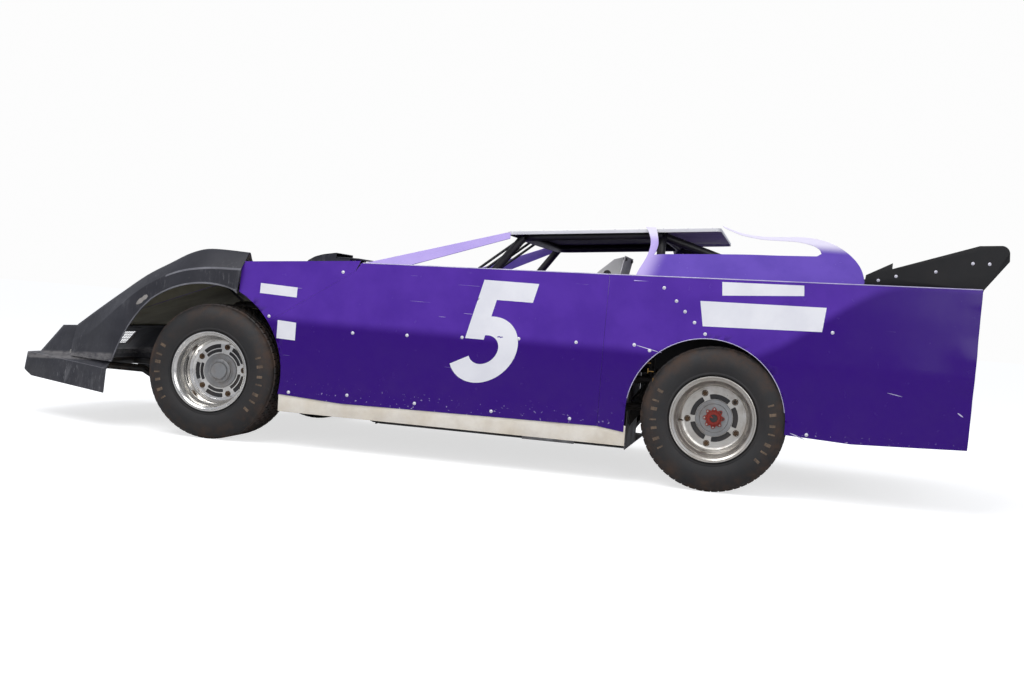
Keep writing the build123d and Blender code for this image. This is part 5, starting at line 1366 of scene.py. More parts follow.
@dataclass
class Sails:
    """Sail panels: the left one with its rear strip on its sloping plane, the right one as the CAD has it."""

    low: Pair = (0.9160, 1.0300)
    high: Pair = (0.6340, 1.2900)
    thickness: float = 0.0016
    runs: tuple[tuple[Pair, ...], ...] = (
        # X and Z: post's front, post's rear, panel's top, strip's underside, strip's top and the tail
        ((-0.860, 0.997), (-0.868, 1.044), (-0.893, 1.111), (-0.904, 1.162), (-0.902, 1.210), (-0.885, 1.254),
         (-0.863, 1.286)),
        ((-0.915, 1.286), (-0.931, 1.248), (-0.943, 1.202), (-0.940, 1.162), (-0.932, 1.139)),
        ((-0.971, 1.145), (-1.342, 1.172), (-1.544, 1.181), (-1.727, 1.191)),
        ((-1.749, 1.206), (-1.736, 1.229), (-1.697, 1.248), (-1.624, 1.260), (-1.537, 1.260), (-1.449, 1.261),
         (-1.359, 1.274), (-1.305, 1.292), (-1.260, 1.309)),
        ((-1.249, 1.321), (-1.312, 1.298), (-1.388, 1.281), (-1.477, 1.276), (-1.564, 1.281), (-1.651, 1.287),
         (-1.724, 1.282), (-1.797, 1.263), (-1.856, 1.232), (-1.900, 1.196), (-1.932, 1.157), (-1.951, 1.114),
         (-1.963, 1.051)),
    )

    def place(self, x: float, z: float) -> Vector:
        """The left sail's outer face at a place."""
        share = (z - self.low[1]) / (self.high[1] - self.low[1])
        return Vector((x, self.low[0] + share * (self.high[0] - self.low[0]), z))

    def build(self) -> None:
        """Make the left panel from its outline, and keep the right one from the CAD."""
        shape = Shape.copy_of("sails")
        bmesh.ops.delete(shape.bm, geom=[vert for vert in shape.bm.verts if vert.co.y > 0], context="VERTS")
        outline = [point for run in self.runs for point in flowing(run, 4)]
        rise, lean = self.high[1] - self.low[1], self.high[0] - self.low[0]
        inward = Vector((0, -rise, lean)).normalized() * self.thickness
        shape.plate([self.place(x, z) for x, z in outline], inward)
        for face in shape.bm.faces:
            face.normal_update()
            # The panel's inner faces take the underside's white with painted light
            face.material_index = int(face.normal.y * face.calc_center_median().y < -0.3)
        publish(shape, "sail_panels", (SAIL_PURPLE, UNDERSIDE_PAINTED_LIGHT), stands_for=["sails"], smooth=30)


@dataclass
class Scoop:
    """Cover over the air box: a wedge that is open to the rear, and the flat lid behind it."""

    half: float = 0.150
    base: float = 0.936
    wall: float = 0.003
    top: tuple[Pair, ...] = ((1.136, 0.990), (1.090, 1.019), (1.036, 1.036), (0.961, 1.049))
    lid: tuple[Pair, Pair] = ((0.826, 1.018), (0.966, 1.026))

    def build(self) -> None:
        """Make the cover."""
        shape = Shape()
        line = [(self.top[0][0], self.base), *self.top]
        for index in range(1, len(line) - 1):
            place = line.index(self.top[index - 1])
            line[place:place + 1] = eased(line[place - 1], line[place], line[place + 1], 0.012, 3)
        sheet = line + inset(line, -self.wall)[::-1]
        shape.plate([Vector((x, -self.half, z)) for x, z in sheet], Vector((0, 2 * self.half, 0)))
        (lid_rear, lid_low), (lid_front, lid_high) = self.lid
        foot = lid_rear + 0.050
        side = [(x, z - 0.001) for x, z in line] + [(line[-1][0], lid_low), (foot, lid_low), (foot, self.base)]
        for y in (-self.half, self.half - self.wall):
            shape.plate([Vector((x, y, z)) for x, z in side], Vector((0, self.wall, 0)))
        shape.block((lid_rear, -self.half + 0.006, lid_low), (lid_front, self.half - 0.006, lid_high), 0.0015)
        publish(shape, "scoop", (PLASTIC,), stands_for=["hood_scoop"])


@dataclass
class Trim:
    """What is fixed to the shell: rolled edges, bolts, brackets, hood pins, a fold painted pale as wear and a painted
    highlight, and the inlet's mesh.
    """

    sides: SideSheets
    rear_arch: tuple[Pair, ...] = ((-0.875, 0.420), (-1.257, 0.744), (-1.636, 0.420))
    top_edge: tuple[Pair, ...] = ((0.535, 0.982), (-0.740, 1.020), (-2.490, 1.078))
    brackets: tuple[Pair, ...] = ((-0.960, 0.606), (-1.006, 0.521), (-0.978, 0.566))
    ramp_bolts: tuple[Pair, ...] = ((2.126, 0.527), (2.067, 0.549), (2.059, 0.444), (2.050, 0.406), (2.186, 0.444),
                                    (2.242, 0.378))
    front_bolts: tuple[float, ...] = (0.08, 0.24, 0.40, 0.56)
    board_bolts: tuple[Pair, ...] = ((-2.444, 1.201), (-2.519, 1.204), (-2.10, 1.115), (-2.28, 1.150), (-2.02, 1.09))
    hood_pins: tuple[Pair, ...] = ((0.62, 0.46), (1.72, 0.46))
    roof_rivets: int = 9
    inlet: tuple[Pair, Pair] = ((2.474, 0.386), (2.402, 0.476))
    inlet_half: float = 0.334
    uprights: int = 30
    mesh_wire: float = 0.0013
    valance: tuple[Pair, Pair] = ((1.93, 0.3168058), (2.55, 0.3461938))

    def __post_init__(self) -> None:
        """Collect the surfaces that pieces are set down on."""
        names = ("nose_shell", "roof_sheet", "hood_sheet", "tail_spoiler")
        self.trees = {name: faces_of(bpy.data.objects[name]) for name in names}

    def build(self) -> None:
        """Make each kind of trim for both sides."""
        self.hems()
        self.arch_lips()
        self.arch_brackets()
        self.bolts()
        self.pins()
        self.fold()
        self.mesh()

    def reach(self, name: str, start: Point, ahead: Point) -> tuple[Vector, Vector] | None:
        """Where a ray meets a shell.

        Args:
            name: the shell's piece.
            start, ahead: the ray's start and direction.

        Returns:
            The place and the shell's normal on the ray's side, or None where it misses.
        """
        hit, normal, *_ = self.trees[name].ray_cast(Vector(start), Vector(ahead))
        if hit is None:
            return None
        return hit, -normal if normal.dot(Vector(ahead)) > 0 else normal

    def hems(self) -> None:
        """The side sheets' upper edge, rolled over a wire."""
        shape = Shape()
        for side in Side:
            points: list[Vector] = []
            for start, end in zip(self.top_edge, self.top_edge[1:]):
                count = int(abs(end[0] - start[0]) / 0.08)
                for step in range(count + 1):
                    x, z = on_way(start, end, step / count)
                    point = self.sides.on_sheet(x, z - 0.004, side) + Vector((0, -side.value * 0.0015, 0.0042))
                    if not points or (point - points[-1]).length > 0.01:
                        points.append(point)
            shape.path(points, 0.0026, 8)
        publish(shape, "belt_hems", (HEM,), smooth=60)

    def arch_lips(self) -> None:
        """A rolled edge round each rear wheel arch."""
        shape = Shape()
        for side in Side:
            points = [self.sides.on_sheet(x, z + 0.003, side) + Vector((0, -side.value * 0.0015, -0.003))
                      for x, z in arc(*self.rear_arch, 40)]
            shape.path(points, 0.0024, 8)
        publish(shape, "rear_arch_beads", (HEM,), smooth=60)

    def arch_brackets(self) -> None:
        """Small folded brackets inside the rear arch's front edge."""
        shape = Shape()
        for side in Side:
            low, high = sorted((side.value * 0.955, side.value * 0.925))
            for x, z in self.brackets:
                shape.block((x - 0.016, low, z - 0.007), (x + 0.014, high, z - 0.004), 0.0008)
                shape.block((x + 0.011, low, z - 0.016), (x + 0.014, high, z + 0.009), 0.0008)
        publish(shape, "arch_brackets", (BRASS,))

    def button(self, shape: Shape, met: tuple[Vector, Vector] | None, radius: float = 0.008) -> None:
        """A button-headed bolt on its washer.

        Args:
            shape: where it goes.
            met: its place and the way it faces; no bolt is made where a ray met nothing.
            radius: its head's radius.
        """
        if met:
            shape.turned([(-0.001, 0.0), (-0.001, radius * 1.5), (0.0012, radius * 1.5), (0.0014, radius),
                          (0.0038, radius * 0.8), (0.0048, radius * 0.45), (0.0050, 0.0)], *met, 16)

    def bolts(self) -> None:
        """Bolts along the nose's ramp, the roof's lip and the spoiler's boards."""
        nose, lip = Shape(), Shape()
        for side in Side:
            for x, z in self.ramp_bolts:
                self.button(nose, self.reach("nose_shell", (x, side.value * BESIDE, z), -side.out))
            for y in self.front_bolts:
                met = self.reach("nose_shell", (2.40, side.value * y, 0.7), DOWN)
                if met and met[0].z > 0.4:
                    self.button(nose, met)
            for index in range(self.roof_rivets):
                x = -1.20 + index * 0.125
                self.button(lip, self.reach("roof_sheet", (x, side.value * 0.60, ABOVE), DOWN), 0.0045)
            for x, z in self.board_bolts:
                met = self.reach("tail_spoiler", (x, side.value * BESIDE, z), -side.out)
                if met:
                    self.button(lip, (met[0], side.out), 0.005)
        publish(nose, "nose_bolts", (ZINC,), smooth=50)
        publish(lip, "roof_and_tail_rivets", (RIVET,), smooth=50)

    def pins(self) -> None:
        """Hood pins: a round plate, a post and its clip."""
        shape = Shape()
        for side in Side:
            for x, y in self.hood_pins:
                met = self.reach("hood_sheet", (x, side.value * y, ABOVE), DOWN)
                if not met:
                    continue
                place, out = met
                shape.turned([(-0.001, 0.0), (-0.001, 0.024), (0.0014, 0.0235), (0.0018, 0.010), (0.002, 0.0)],
                             place, out, 28)
                shape.rod(place, place + out * 0.020, 0.0052, 12, 0.0046)
                raised = place + out * 0.008
                shape.rod(raised - Vector((0.010, 0, 0)), raised + Vector((0.016, 0, 0)), 0.0016, 8)
        publish(shape, "hood_pins", (ZINC,), smooth=50)

    def fold(self) -> None:
        """The fold along the top of the nose's valance, painted pale as wear and a painted highlight."""
        shape = Shape()
        for side in Side:
            points = []
            for step in range(30):
                x, z = on_way(*self.valance, step / 29)
                met = self.reach("nose_shell", (x, side.value * BESIDE, z), -side.out)
                if met:
                    points.append(met[0] - side.out * 0.0006)
            shape.path(points, 0.0016, 6)
        publish(shape, "valance_folds", (CREASE_WEAR_AND_HIGHLIGHT,), smooth=60)

    def mesh(self) -> None:
        """Wire mesh behind the nose's inlet."""
        (low_x, low_z), (high_x, high_z) = self.inlet
        shape = Shape()
        for index in range(self.uprights + 1):
            y = self.inlet_half * (2 * index / self.uprights - 1)
            shape.rod((low_x, y, low_z), (high_x, y, high_z), self.mesh_wire, 6)
        for index in range(1, 5):
            x, z = on_way(*self.inlet, index / 5)
            shape.rod((x, -self.inlet_half, z), (x, self.inlet_half, z), self.mesh_wire, 6)
        publish(shape, "inlet_mesh", (IRON,))


@dataclass
class Springs:
    """Coil-overs with real coils: seats, body, rod and eyes."""

    coils: float = 7.5
    wire: float = 0.0055
    coil_radius: float = 0.0385
    eye: float = 0.012
    ends: tuple[tuple[Point, Point, float, float], ...] = (
        # the left foot and top of a coil-over, and the shares of its length at which the spring starts and ends
        ((1.317, 0.548, 0.2349), (1.317, 0.480, 0.660), 0.20, 0.62),
        ((-1.359, 0.520, 0.300), (-1.359, 0.505, 0.860), 0.32, 0.72),
    )

    def build(self) -> None:
        """Make all four, and the springs apart from the shocks."""
        shocks, coils = Shape(), Shape()
        for side in Side:
            for low, high, start, end in self.ends:
                foot, top = (Vector((x, y * side.value, z)) for x, y, z in (low, high))
                self.shock(shocks, foot, top, start, end)
                self.coil(coils, foot, top, start, end)
        publish(shocks, "shock_bodies", (SHOCK_BODY,), stands_for=["coil_overs"])
        publish(coils, "spring_coils", (SPRING_PAINT,), smooth=60)

    def shock(self, shape: Shape, foot: Vector, top: Vector, start: float, end: float) -> None:
        """Rod, two seats, body and eyes of one shock.

        Args:
            shape: where it goes.
            foot, top: the middles of its eyes.
            start, end: the shares of its length at which the spring's seats lie.
        """
        run = top - foot
        length, axis = run.length, run.normalized()
        a, b = start * length, end * length
        shape.turned([(0.012, 0.0), (0.012, 0.010), (a - 0.012, 0.010), (a - 0.012, 0.046), (a - 0.006, 0.048),
                      (a, 0.046), (a, 0.024), (b, 0.024), (b, 0.046), (b + 0.006, 0.048), (b + 0.012, 0.046),
                      (b + 0.012, 0.027), (length - 0.02, 0.027), (length - 0.016, 0.012), (length - 0.012, 0.0)],
                     foot, axis, 32)
        half = Vector((self.eye, 0, 0))
        for place in (foot, top):
            shape.rod(place - half, place + half, 0.016, 24)

    def coil(self, shape: Shape, foot: Vector, top: Vector, start: float, end: float) -> None:
        """One helix between the seats.

        Args:
            shape: where it goes.
            foot, top: the middles of the shock's eyes.
            start, end: the shares of its length at which the seats lie.
        """
        run = top - foot
        axis = run.normalized()
        side = axis.orthogonal().normalized()
        other = axis.cross(side)
        steps = int(self.coils * 18)
        points = []
        for index in range(steps + 1):
            turn = 2 * pi * self.coils * index / steps
            climb = run * (start + (end - start) * (0.02 + 0.96 * index / steps))
            points.append(foot + climb + (side * cos(turn) + other * sin(turn)) * self.coil_radius)
        shape.path(points, self.wire, 8)


@dataclass
class Cockpit:
    """Seat, steering wheel and instrument panel."""

    wheel_hub: Point = (-0.150, 0.372, 0.7995)
    column_foot: Point = (0.540, 0.352, 0.5595)
    rim_radius: float = 0.165
    grip: float = 0.012
    panel: tuple[Point, Point] = ((-0.015, 0.150, 0.845), (0.010, 0.590, 0.930))
    dials: tuple[Pair, ...] = ((0.250, 0.028), (0.372, 0.036), (0.490, 0.028))  # y, radius
    head_plate_from: float = 0.90
    wing: float = 0.130

    def build(self) -> None:
        """Make each piece."""
        self.seat()
        self.wheel()
        self.instruments()

    def seat(self) -> None:
        """Formed seat with broken edges, its head wings in grey, each with a dark disc and a knob."""
        shape = Shape.copy_of("seat")
        shape.cut(Vector((0, 0, self.head_plate_from)), Vector((0, 0, 1)))
        shape.soften(0.0, 0.0012)
        for face in shape.bm.faces:
            if face.calc_center_median().z > self.head_plate_from:
                face.material_index = 1
        formed = set(shape.bm.faces)
        low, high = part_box("seat")
        wings = [(low.y + high.y) / 2 + offset for offset in (-self.wing, self.wing)]
        for y in wings:
            for sign in (-1, 1):
                shape.turned([(0.0, 0.0), (0.0, 0.020), (0.0006, 0.020), (0.0006, 0.0)],
                             Vector((-0.665, y + sign * 0.0021, 1.035)), Vector((0, sign, 0)), 24)
            shape.rod((-0.755, y - 0.012, 1.118), (-0.755, y + 0.012, 1.118), 0.011, 20)
        for face in shape.bm.faces:
            if face not in formed:
                face.material_index = 2
        publish(shape, "formed_seat", (BARE, HEAD_PLATE, BLACK_CAP), stands_for=["seat"])

    def wheel(self) -> None:
        """Steering wheel with a round grip, three flat spokes, its hub and column."""
        hub, foot = Vector(self.wheel_hub), Vector(self.column_foot)
        axis = (hub - foot).normalized()
        side = axis.orthogonal().normalized()
        other = axis.cross(side)
        shape = Shape()
        ring = [(self.grip * sin(turn), self.rim_radius + self.grip * cos(turn))
                for turn in (2 * pi * step / 14 for step in range(15))]
        shape.turned(ring, hub, axis, 56)
        shape.paint(0)
        for index in range(3):
            turn = 2 * pi * index / 3 + 0.5
            out = side * cos(turn) + other * sin(turn)
            flat = axis.cross(out)
            shape.plate([hub + out * reach + flat * width - axis * 0.002 for reach, width in
                         ((0.028, 0.019), (0.160, 0.011), (0.160, -0.011), (0.028, -0.019))], axis * 0.004)
        shape.turned([(-0.030, 0.0), (-0.030, 0.030), (-0.006, 0.034), (0.004, 0.034), (0.010, 0.026), (0.010, 0.0)],
                     hub, axis, 32)
        shape.paint(1)
        shape.rod(foot, hub - axis * 0.02, 0.0135, 20)
        shape.paint(2)
        publish(shape, "steering_wheel_assembly", (RUBBER, BLACK_CAP, ZINC), stands_for=["steering_wheel"])

    def instruments(self) -> None:
        """A small black panel with three dials, facing the driver."""
        shape = Shape()
        low, high = self.panel
        shape.block(low, high, 0.004)
        shape.paint(0)
        for y, radius in self.dials:
            place, facing = Vector((low[0], y, (low[2] + high[2]) / 2)), Vector((-1, 0, 0))
            shape.turned([(0.0, 0.0), (0.0, radius), (0.008, radius), (0.008, radius - 0.004), (0.005, radius - 0.005),
                          (0.005, 0.0)], place, facing, 32)
            shape.paint(1)
            shape.turned([(0.0048, 0.0), (0.0048, radius - 0.006), (0.0056, radius - 0.006), (0.0056, 0.0)],
                         place, facing, 32)
            shape.paint(2)
        publish(shape, "instrument_panel", (BLACK_SHEET, ZINC, DIAL))


# Turned parts of a hub: the way out from the face of the wheel's disc, or from where it is set, and the radius
HUB_PLATE = ((0.001, 0.0), (0.001, 0.0905), (0.005, 0.0915), (0.0065, 0.0900), (0.0070, 0.072), (0.0100, 0.069),
             (0.0105, 0.0))
ROTOR_RING = ((0.0, 0.085), (0.0, 0.150), (0.020, 0.150), (0.020, 0.085), (0.0, 0.085))
DUST_CAP = ((0.008, 0.0), (0.008, 0.062), (0.018, 0.0615), (0.020, 0.058), (0.0205, 0.047), (0.027, 0.0455),
            (0.030, 0.042), (0.0305, 0.0))
FLANGE_BOSS = ((0.018, 0.0), (0.018, 0.034), (0.026, 0.032), (0.026, 0.0))
FLANGE_CAP = ((0.025, 0.0), (0.025, 0.0195), (0.031, 0.0175), (0.0315, 0.0))
NUT_SEAT = ((0.0, 0.0), (0.0, 0.0165), (0.0025, 0.0150), (0.0030, 0.0125))


@dataclass
class Wheel:
    """One corner's tyre, rim, hub, nuts and caps, all turning about its axle."""

    end: End
    side: Side
    rows: int = 6
    pitches: int = 60
    tread_half: float = 0.130
    block_height: float = 0.006
    lug_circle: float = 0.130
    lugs: int = 5
    bar_starts: tuple[float, float] = (232.0, 66.0)
    bar_step: float = 9.5
    disc_wall: float = 0.006
    # the front wheel's value, then the rear one's
    phases: Pair = (-13.0, 24.0)
    disc_depths: Pair = (0.150, 0.128)
    hub_reaches: Pair = (0.092, 0.170)
    # a disc's rings of slots: inner and outer radius; and which of them are cut, with half their sweep in degrees
    slots: tuple[tuple[Pair, Pair], ...] = (((0.0985, 0.1155), (0.1205, 0.1425)), ((0.0930, 0.1180), (0.1205, 0.1425)))
    sweeps: tuple[tuple[float, ...], ...] = ((24.0, 20.5), (26.0,))
    bars: tuple[tuple[float, float, float], ...] = (
        # turn off its place in degrees, half width, height
        (0.0, 0.0070, 0.030), (0.8, 0.0048, 0.034), (-0.6, 0.0082, 0.031), (0.5, 0.0040, 0.033), (-0.9, 0.0066, 0.029),
        (0.3, 0.0075, 0.033), (0.0, 0.0045, 0.030),
    )

    def __post_init__(self) -> None:
        """Read the wheel's place and sizes from the frame."""
        self.rear = self.end is End.REAR
        self.centre = axle_centre(self.end, self.side)
        self.axis = self.side.out
        self.tag = f"{self.end.value}_{self.side.word}"
        self.body = f"wheel_{self.tag}"
        low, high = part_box(f"tyre_{self.tag}")
        self.radius = (high.z - low.z) / 2
        rim_low, rim_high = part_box(f"rim_{self.tag}")
        self.lip = (rim_high.z - rim_low.z) / 2
        self.half = (rim_high.y - rim_low.y) / 2
        self.phase = self.phases[self.rear]
        self.face = self.half - self.disc_depths[self.rear]
        self.axle = (self.centre.x, self.centre.z)

    def at(self, along: float, radius: float, angle: float) -> Vector:
        """A point of the wheel: outboard distance, radius and angle from straight up, in degrees."""
        turn = radians(angle)
        return self.centre + self.axis * along + Vector((radius * sin(turn), 0, radius * cos(turn)))

    def lathe(self, shape: Shape, profile: Sequence[Pair], steps: int, index: int = 0, start: float = 0.0) -> None:
        """Turn a profile about the axle, and paint it with what was added before.

        Args:
            shape: where it goes.
            profile: pairs of outboard distance and radius.
            steps: faces round it.
            index: its material's place in the piece's list.
            start: outboard distance from which the profile counts.
        """
        shape.turned([(start + along, radius) for along, radius in profile], self.centre, self.axis, steps)
        shape.paint(index)

    def screws(self, shape: Shape, along: float, circle: float, first: float, length: float, radius: float) -> None:
        """Eight hexagon heads on a circle.

        Args:
            shape: where they go.
            along: outboard distance of their seats.
            circle: radius of the circle.
            first: angle of the first, in degrees.
            length, radius: size of a head.
        """
        for index in range(8):
            start = self.at(along, circle, first + 45 * index)
            shape.rod(start, start + self.axis * length, radius, 6)

    def build(self) -> None:
        """Make the wheel's pieces."""
        self.tyre()
        self.marks()
        self.rim()
        self.hub()
        self.nuts()

    def tyre(self) -> None:
        """A carcass spun from its section, with its tread raised in staggered blocks."""
        base = self.radius - self.block_height
        half = [
            (self.tread_half, base), (0.1385, base - 0.001), (0.150, base - 0.008), (0.162, base - 0.024),
            (0.1705, base - 0.044), (0.1752, base - 0.066), (0.1745, 0.262), (0.1690, 0.240), (0.1650, 0.229),
            (0.1662, 0.2245), (0.1655, 0.219), (0.1600, 0.2165), (0.1568, 0.2125), (0.1525, 0.205), (0.1515, 0.192),
        ]
        tread = [(self.tread_half * (2 * row / self.rows - 1), base) for row in range(1, self.rows)]
        inside = [(0.125, 0.192), (0.125, 0.225), (0.130, 0.325)]
        far = mirrored(half)
        shape = Shape()
        self.lathe(shape, far[::-1] + tread + half + inside + mirrored(inside)[::-1] + far[-1:], self.pitches * 2)
        shape.close()
        self.raise_tread(shape, base)
        finish = TyreRubber(f"tyre_rubber_{self.end.value}", tone(33, 32, 32), tone(26, 25, 26), 0.6,
                            dust=0.75, soil=tone(82, 60, 45), axle=self.axle)
        publish(shape, f"tyre_body_{self.tag}", (finish,), self.body, [f"tyre_{self.tag}"], smooth=32)

    def raise_tread(self, shape: Shape, base: float) -> None:
        """Lift pairs of tread faces into blocks, every other row half a block on.

        Args:
            shape: the closed carcass.
            base: radius at the foot of the blocks.
        """
        groups: dict[tuple[int, int], list] = {}
        step = pi / self.pitches
        for face in shape.bm.faces:
            place = face.calc_center_median() - self.centre
            along = place.dot(self.axis)
            if abs(along) < self.tread_half and hypot(place.x, place.z) > base - 0.002:
                row = int((along + self.tread_half) / (2 * self.tread_half / self.rows))
                turn = int((atan2(place.x, place.z) % (2 * pi)) / step)
                groups.setdefault((row, (turn + row % 2) // 2 % self.pitches), []).append(face)
        for faces in groups.values():
            bmesh.ops.inset_region(shape.bm, faces=faces, thickness=0.0034, depth=self.block_height * 0.98,
                                   use_even_offset=True, use_boundary=True)

    def marks(self) -> None:
        """Two arcs of plain raised bars on the outer sidewall."""
        shape = Shape()
        for start in self.bar_starts:
            for index, (turn, wide, tall) in enumerate(self.bars):
                angle = start + index * self.bar_step + turn
                inner, outer = self.at(0.1742, 0.272, angle), self.at(0.1742 - 0.06 * tall, 0.272 + tall, angle)
                across = (inner - outer).cross(self.axis).normalized() * wide
                shape.plate([inner - across, inner + across, outer + across, outer - across], self.axis * 0.0016)
        finish = TyreRubber(f"sidewall_bars_{self.end.value}", tone(116, 98, 80), tone(74, 62, 52), 0.7, patch_scale=30,
                            dust=0.6, soil=tone(70, 54, 44), axle=self.axle)
        publish(shape, f"sidewall_bars_{self.tag}", (finish,), self.body)

    def rim(self) -> None:
        """Rolled lips, stepped barrel and slotted disc."""
        shape = Shape()
        lip = self.lip
        outer = [(self.half - depth, radius) for depth, radius in (
            (0.004, lip), (0.001, lip - 0.001), (0.0, lip - 0.004), (0.001, lip - 0.007), (0.005, lip - 0.009),
            (0.008, lip - 0.014), (0.012, 0.189), (0.017, 0.1862), (0.048, 0.1852), (0.056, 0.1835), (0.066, 0.1740),
            (0.074, 0.1715))]
        under = [(0.156, 0.2085), (0.1515, 0.191), (0.113, 0.1902), (0.097, 0.176)]
        self.lathe(shape, outer + mirrored(outer)[::-1] + mirrored(under) + under[::-1] + outer[:1], 128)
        self.disc(shape)
        metal = replace(RIM_SATIN if self.rear else RIM_POLISHED, axle=self.axle)
        publish(shape, f"rim_metal_{self.tag}", (metal,),
                self.body, [f"rim_{self.tag}"], smooth=42)

    def disc(self, shape: Shape) -> None:
        """The wheel's centre disc: rings of faces with the slots taken out, then given a wall.

        Args:
            shape: the rim that it is added to.
        """
        slots = self.slots[self.rear]
        rings = [(0.0, 0.088), *((0.0, radius) for slot in slots for radius in slot), (0.0, 0.150), (0.003, 0.154),
                 (0.0035, 0.158), (0.001, 0.161), (0.012, 0.1722)]
        disc = Shape()
        self.lathe(disc, rings, 120, start=self.face)
        bmesh.ops.remove_doubles(disc.bm, verts=disc.bm.verts, dist=MERGE)
        gone = []
        for item in disc.bm.faces:
            place = item.calc_center_median() - self.centre
            reach = hypot(place.x, place.z)
            off = (atan2(place.x, place.z) * 180 / pi - self.phase) % 72 - 36
            gone += [item for (inner, outer), sweep in zip(slots, self.sweeps[self.rear])
                     if inner < reach < outer and abs(off) < sweep]
        bmesh.ops.delete(disc.bm, geom=gone, context="FACES")
        corners = [vert for vert in disc.bm.verts if vert.is_boundary and len(vert.link_faces) == 3]
        bmesh.ops.bevel(disc.bm, geom=corners, offset=0.0045, segments=3, profile=0.5, affect="VERTICES", material=-1)
        bmesh.ops.recalc_face_normals(disc.bm, faces=disc.bm.faces)
        for item in disc.bm.faces:
            item.normal_update()
            if item.normal.dot(self.axis) < 0:
                item.normal_flip()
        bmesh.ops.solidify(disc.bm, geom=list(disc.bm.faces), thickness=self.disc_wall)
        whole = disc.mesh("disc")
        shape.bm.from_mesh(whole)
        bpy.data.meshes.remove(whole)

    def hub(self) -> None:
        """Hub plate, body and rotor, with the cap or drive flange of its end."""
        back, reach = self.face - self.disc_wall, self.hub_reaches[self.rear]
        shape = Shape()
        # The hub body and its wide plate just behind the disc are painted black: painted shade seen through the slots
        self.lathe(shape, [(0.0, 0.026), (0.0, 0.1495), (-0.014, 0.1495), (-0.014, 0.080), (-0.034, 0.062),
                           (-reach, 0.062), (-reach, 0.026), (0.0, 0.026)], 72, 2, back)
        self.lathe(shape, HUB_PLATE, 96, 0, self.face)
        self.lathe(shape, ROTOR_RING, 72, 1, back - reach + 0.008)
        finish = SpunMetal(f"hub_metal_{self.end.value}", tone(160, 161, 162), tone(134, 134, 134), 0.42, 0.85,
                           dust=0.35, axle=self.axle)
        publish(shape, f"hub_casting_{self.tag}", (finish, ROTOR, BLACK_CAP), self.body, [f"hub_{self.tag}"])
        if self.rear:
            self.drive_flange()
        else:
            self.dust_cap(finish)

    def dust_cap(self, finish: Finish) -> None:
        """Grey screwed cap over the front bearing.

        Args:
            finish: the hub's finish, which it shares.
        """
        shape = Shape()
        self.lathe(shape, DUST_CAP, 64, 0, self.face)
        self.screws(shape, self.face + 0.019, 0.0535, 22.5, 0.005, 0.0042)
        publish(shape, f"dust_cap_{self.tag}", (finish,), self.body)

    def drive_flange(self) -> None:
        """Red eight-lobed drive flange with its screws and a dark centre cap."""
        shape = Shape()
        angles = [360 / 64 * index for index in range(64)]
        shape.plate([self.at(self.face + 0.009, 0.0465 + 0.0075 * cos(radians(angle * 8)), angle) for angle in angles],
                    self.axis * 0.010)
        self.lathe(shape, FLANGE_BOSS, 40, 0, self.face)
        self.screws(shape, self.face + 0.018, 0.0455, 0.0, 0.006, 0.0048)
        shape.paint(1)
        self.lathe(shape, FLANGE_CAP, 32, 2, self.face)
        publish(shape, f"drive_flange_{self.tag}", (RED_ANODISED, ZINC, BLACK_CAP), self.body)

    def nuts(self) -> None:
        """Lug nuts on their studs, each in its seat, and the rear wheel's valve stem."""
        shape = Shape()
        for index in range(self.lugs):
            seat = self.at(self.face - 0.001, self.lug_circle, 360 / self.lugs * index + self.phase)
            shape.turned(NUT_SEAT, seat, self.axis, 24)
            shape.paint(0)
            shape.rod(seat, seat + self.axis * 0.011, 0.0125, 6, 0.0120)
            shape.paint(1)
            shape.rod(seat, seat + self.axis * 0.018, 0.0068, 14, 0.0062)
            shape.paint(2)
        if self.rear:
            foot = self.at(self.face + 0.006, 0.163, 98)
            shape.rod(foot, foot + self.axis * 0.030 + Vector((-0.012, 0, 0)), 0.0042, 12, 0.0036)
            shape.paint(3)
        publish(shape, f"lug_nuts_{self.tag}", (BRONZE, BRONZE, IRON, RUBBER), self.body)


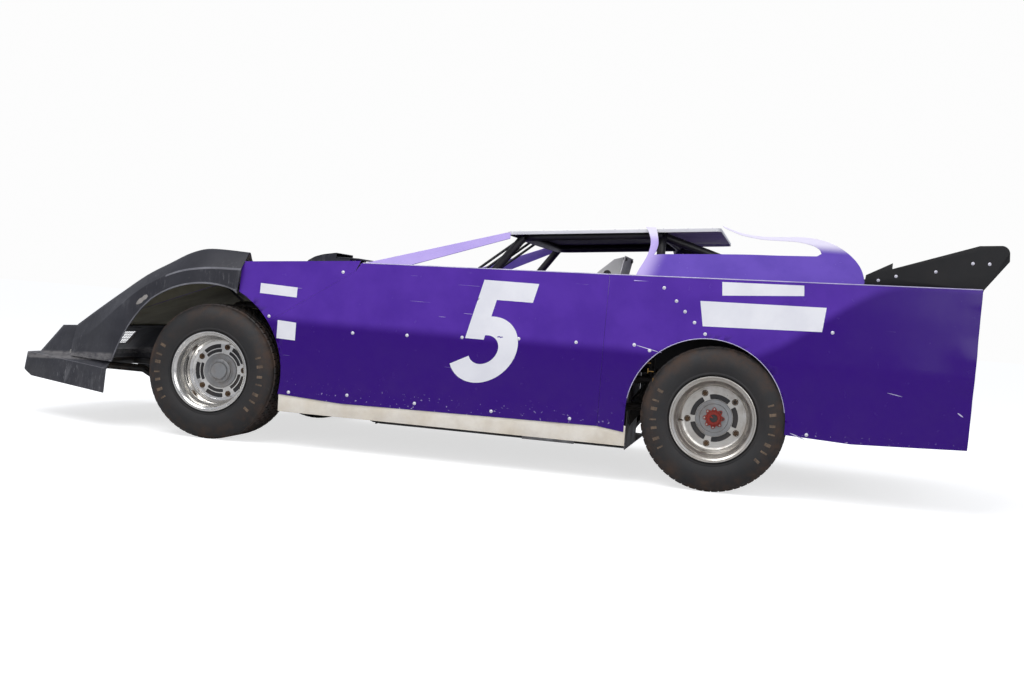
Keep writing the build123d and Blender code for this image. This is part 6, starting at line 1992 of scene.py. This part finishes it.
@dataclass
class Studio:
    """Camera, pale floor and soft lights."""

    lens: float = 46.64
    place: Point = (-1.6006, 7.4566, 0.8261)
    turn: Point = (88.4557, -4.6664, -168.3613)
    floor_half: float = 60.0
    target: Point = (0.0, 0.0, 0.6)
    lamps: tuple[tuple[str, Point, float, float], ...] = (
        # name, place, size and power
        ("key", (1.5, 5.5, 6.5), 5.0, 330.0), ("fill", (-4.5, 7.5, 3.5), 4.0, 120.0),
        ("back", (-1.0, -6.5, 5.0), 5.0, 160.0),
    )

    def build(self) -> None:
        """Place everything that isn't part of the car."""
        scene = bpy.context.scene
        camera = bpy.data.cameras.new("view")
        camera.lens = self.lens
        camera.sensor_width = 36.0
        camera.clip_end = 300.0
        holder = placed("view", camera)
        holder.location = self.place
        holder.rotation_euler = Euler([radians(angle) for angle in self.turn], "XYZ")
        scene.camera = holder
        scene.view_settings.view_transform = "Standard"
        self.floor()
        self.sky()
        for lamp in self.lamps:
            self.lamp(*lamp)

    def lamp(self, name: str, place: Point, size: float, power: float) -> None:
        """A square soft light that looks at the car.

        Args:
            name: its name.
            place: where it hangs.
            size: length of its edge.
            power: its power in watts.
        """
        light = bpy.data.lights.new(name, "AREA")
        light.size = size
        light.energy = power
        holder = placed(name, light)
        holder.location = place
        holder.rotation_euler = (Vector(self.target) - Vector(place)).to_track_quat("-Z", "Y").to_euler()

    def floor(self) -> None:
        """A plain pale floor that shows near white to the camera and keeps its shadow."""
        shape = Shape()
        bmesh.ops.create_grid(shape.bm, x_segments=1, y_segments=1, size=self.floor_half)
        mesh = shape.mesh("floor")
        floor = placed("floor", mesh)
        graph = Graph("pale_floor")
        ray = graph.node("ShaderNodeLightPath")
        diffuse = graph.node("ShaderNodeBsdfDiffuse", Color=(0.62, 0.62, 0.62)).outputs["BSDF"]
        glow = graph.node("ShaderNodeEmission", Color=(1.0, 1.0, 1.0),
                          Strength=Signal(graph, ray.outputs["Is Camera Ray"]) * 0.68).outputs["Emission"]
        both = graph.node("ShaderNodeAddShader", Shader=diffuse, Shader_001=glow).outputs["Shader"]
        graph.node("ShaderNodeOutputMaterial", Surface=both)
        mesh.materials.append(graph.material)

    def sky(self) -> None:
        """A white surround for the camera, and a soft pale blue sky for the light."""
        world = bpy.data.worlds.new("studio")
        bpy.context.scene.world = world
        graph = Graph("studio", world)
        ray = graph.node("ShaderNodeLightPath")
        plain = graph.node("ShaderNodeBackground", Color=(1.0, 1.0, 1.0), Strength=0.98).outputs["Background"]
        soft = graph.node("ShaderNodeBackground", Color=(0.88, 0.91, 1.0), Strength=0.55).outputs["Background"]
        both = graph.node("ShaderNodeMixShader", Fac=Signal(graph, ray.outputs["Is Camera Ray"]), Shader=soft,
                          Shader_001=plain).outputs["Shader"]
        graph.node("ShaderNodeOutputWorld", Surface=both)


CAD_FINISHES: dict[Finish, tuple[str, ...]] = {
    TUBE: ("frame_rails", "frame_cross_members", "cage_hoops", "cage_halo", "cage_legs", "door_bars", "body_braces",
           "bumpers", "front_arms", "rear_links", "screen_bars"),
    BARE: ("floor_pan", "firewall", "cockpit_walls", "drive_shaft"),
    IRON: ("engine_block", "knuckle_left", "knuckle_right"),
    CASTING: ("transmission", "radiator", "rear_axle", "rack_housing"),
    STEEL: ("exhaust", "steering_rack"),
    BLACK_SHEET: ("fuel_cell", "rear_tubs"),
}


def main() -> None:
    """Dress the CAD nodes, build each sub-assembly and finish the scene."""
    logging.basicConfig(level=logging.INFO, format="%(name)s %(message)s")
    Studio().build()
    for finish, nodes in CAD_FINISHES.items():
        dress(finish, nodes)
    sides = SideSheets()
    sides.build()
    BodyShell().build()
    Flares().build()
    Sails().build()
    Scoop().build()
    Trim(sides).build()
    Springs().build()
    Cockpit().build()
    for end in End:
        for side in Side:
            Wheel(end, side).build()


if __name__ == "__main__":
    main()
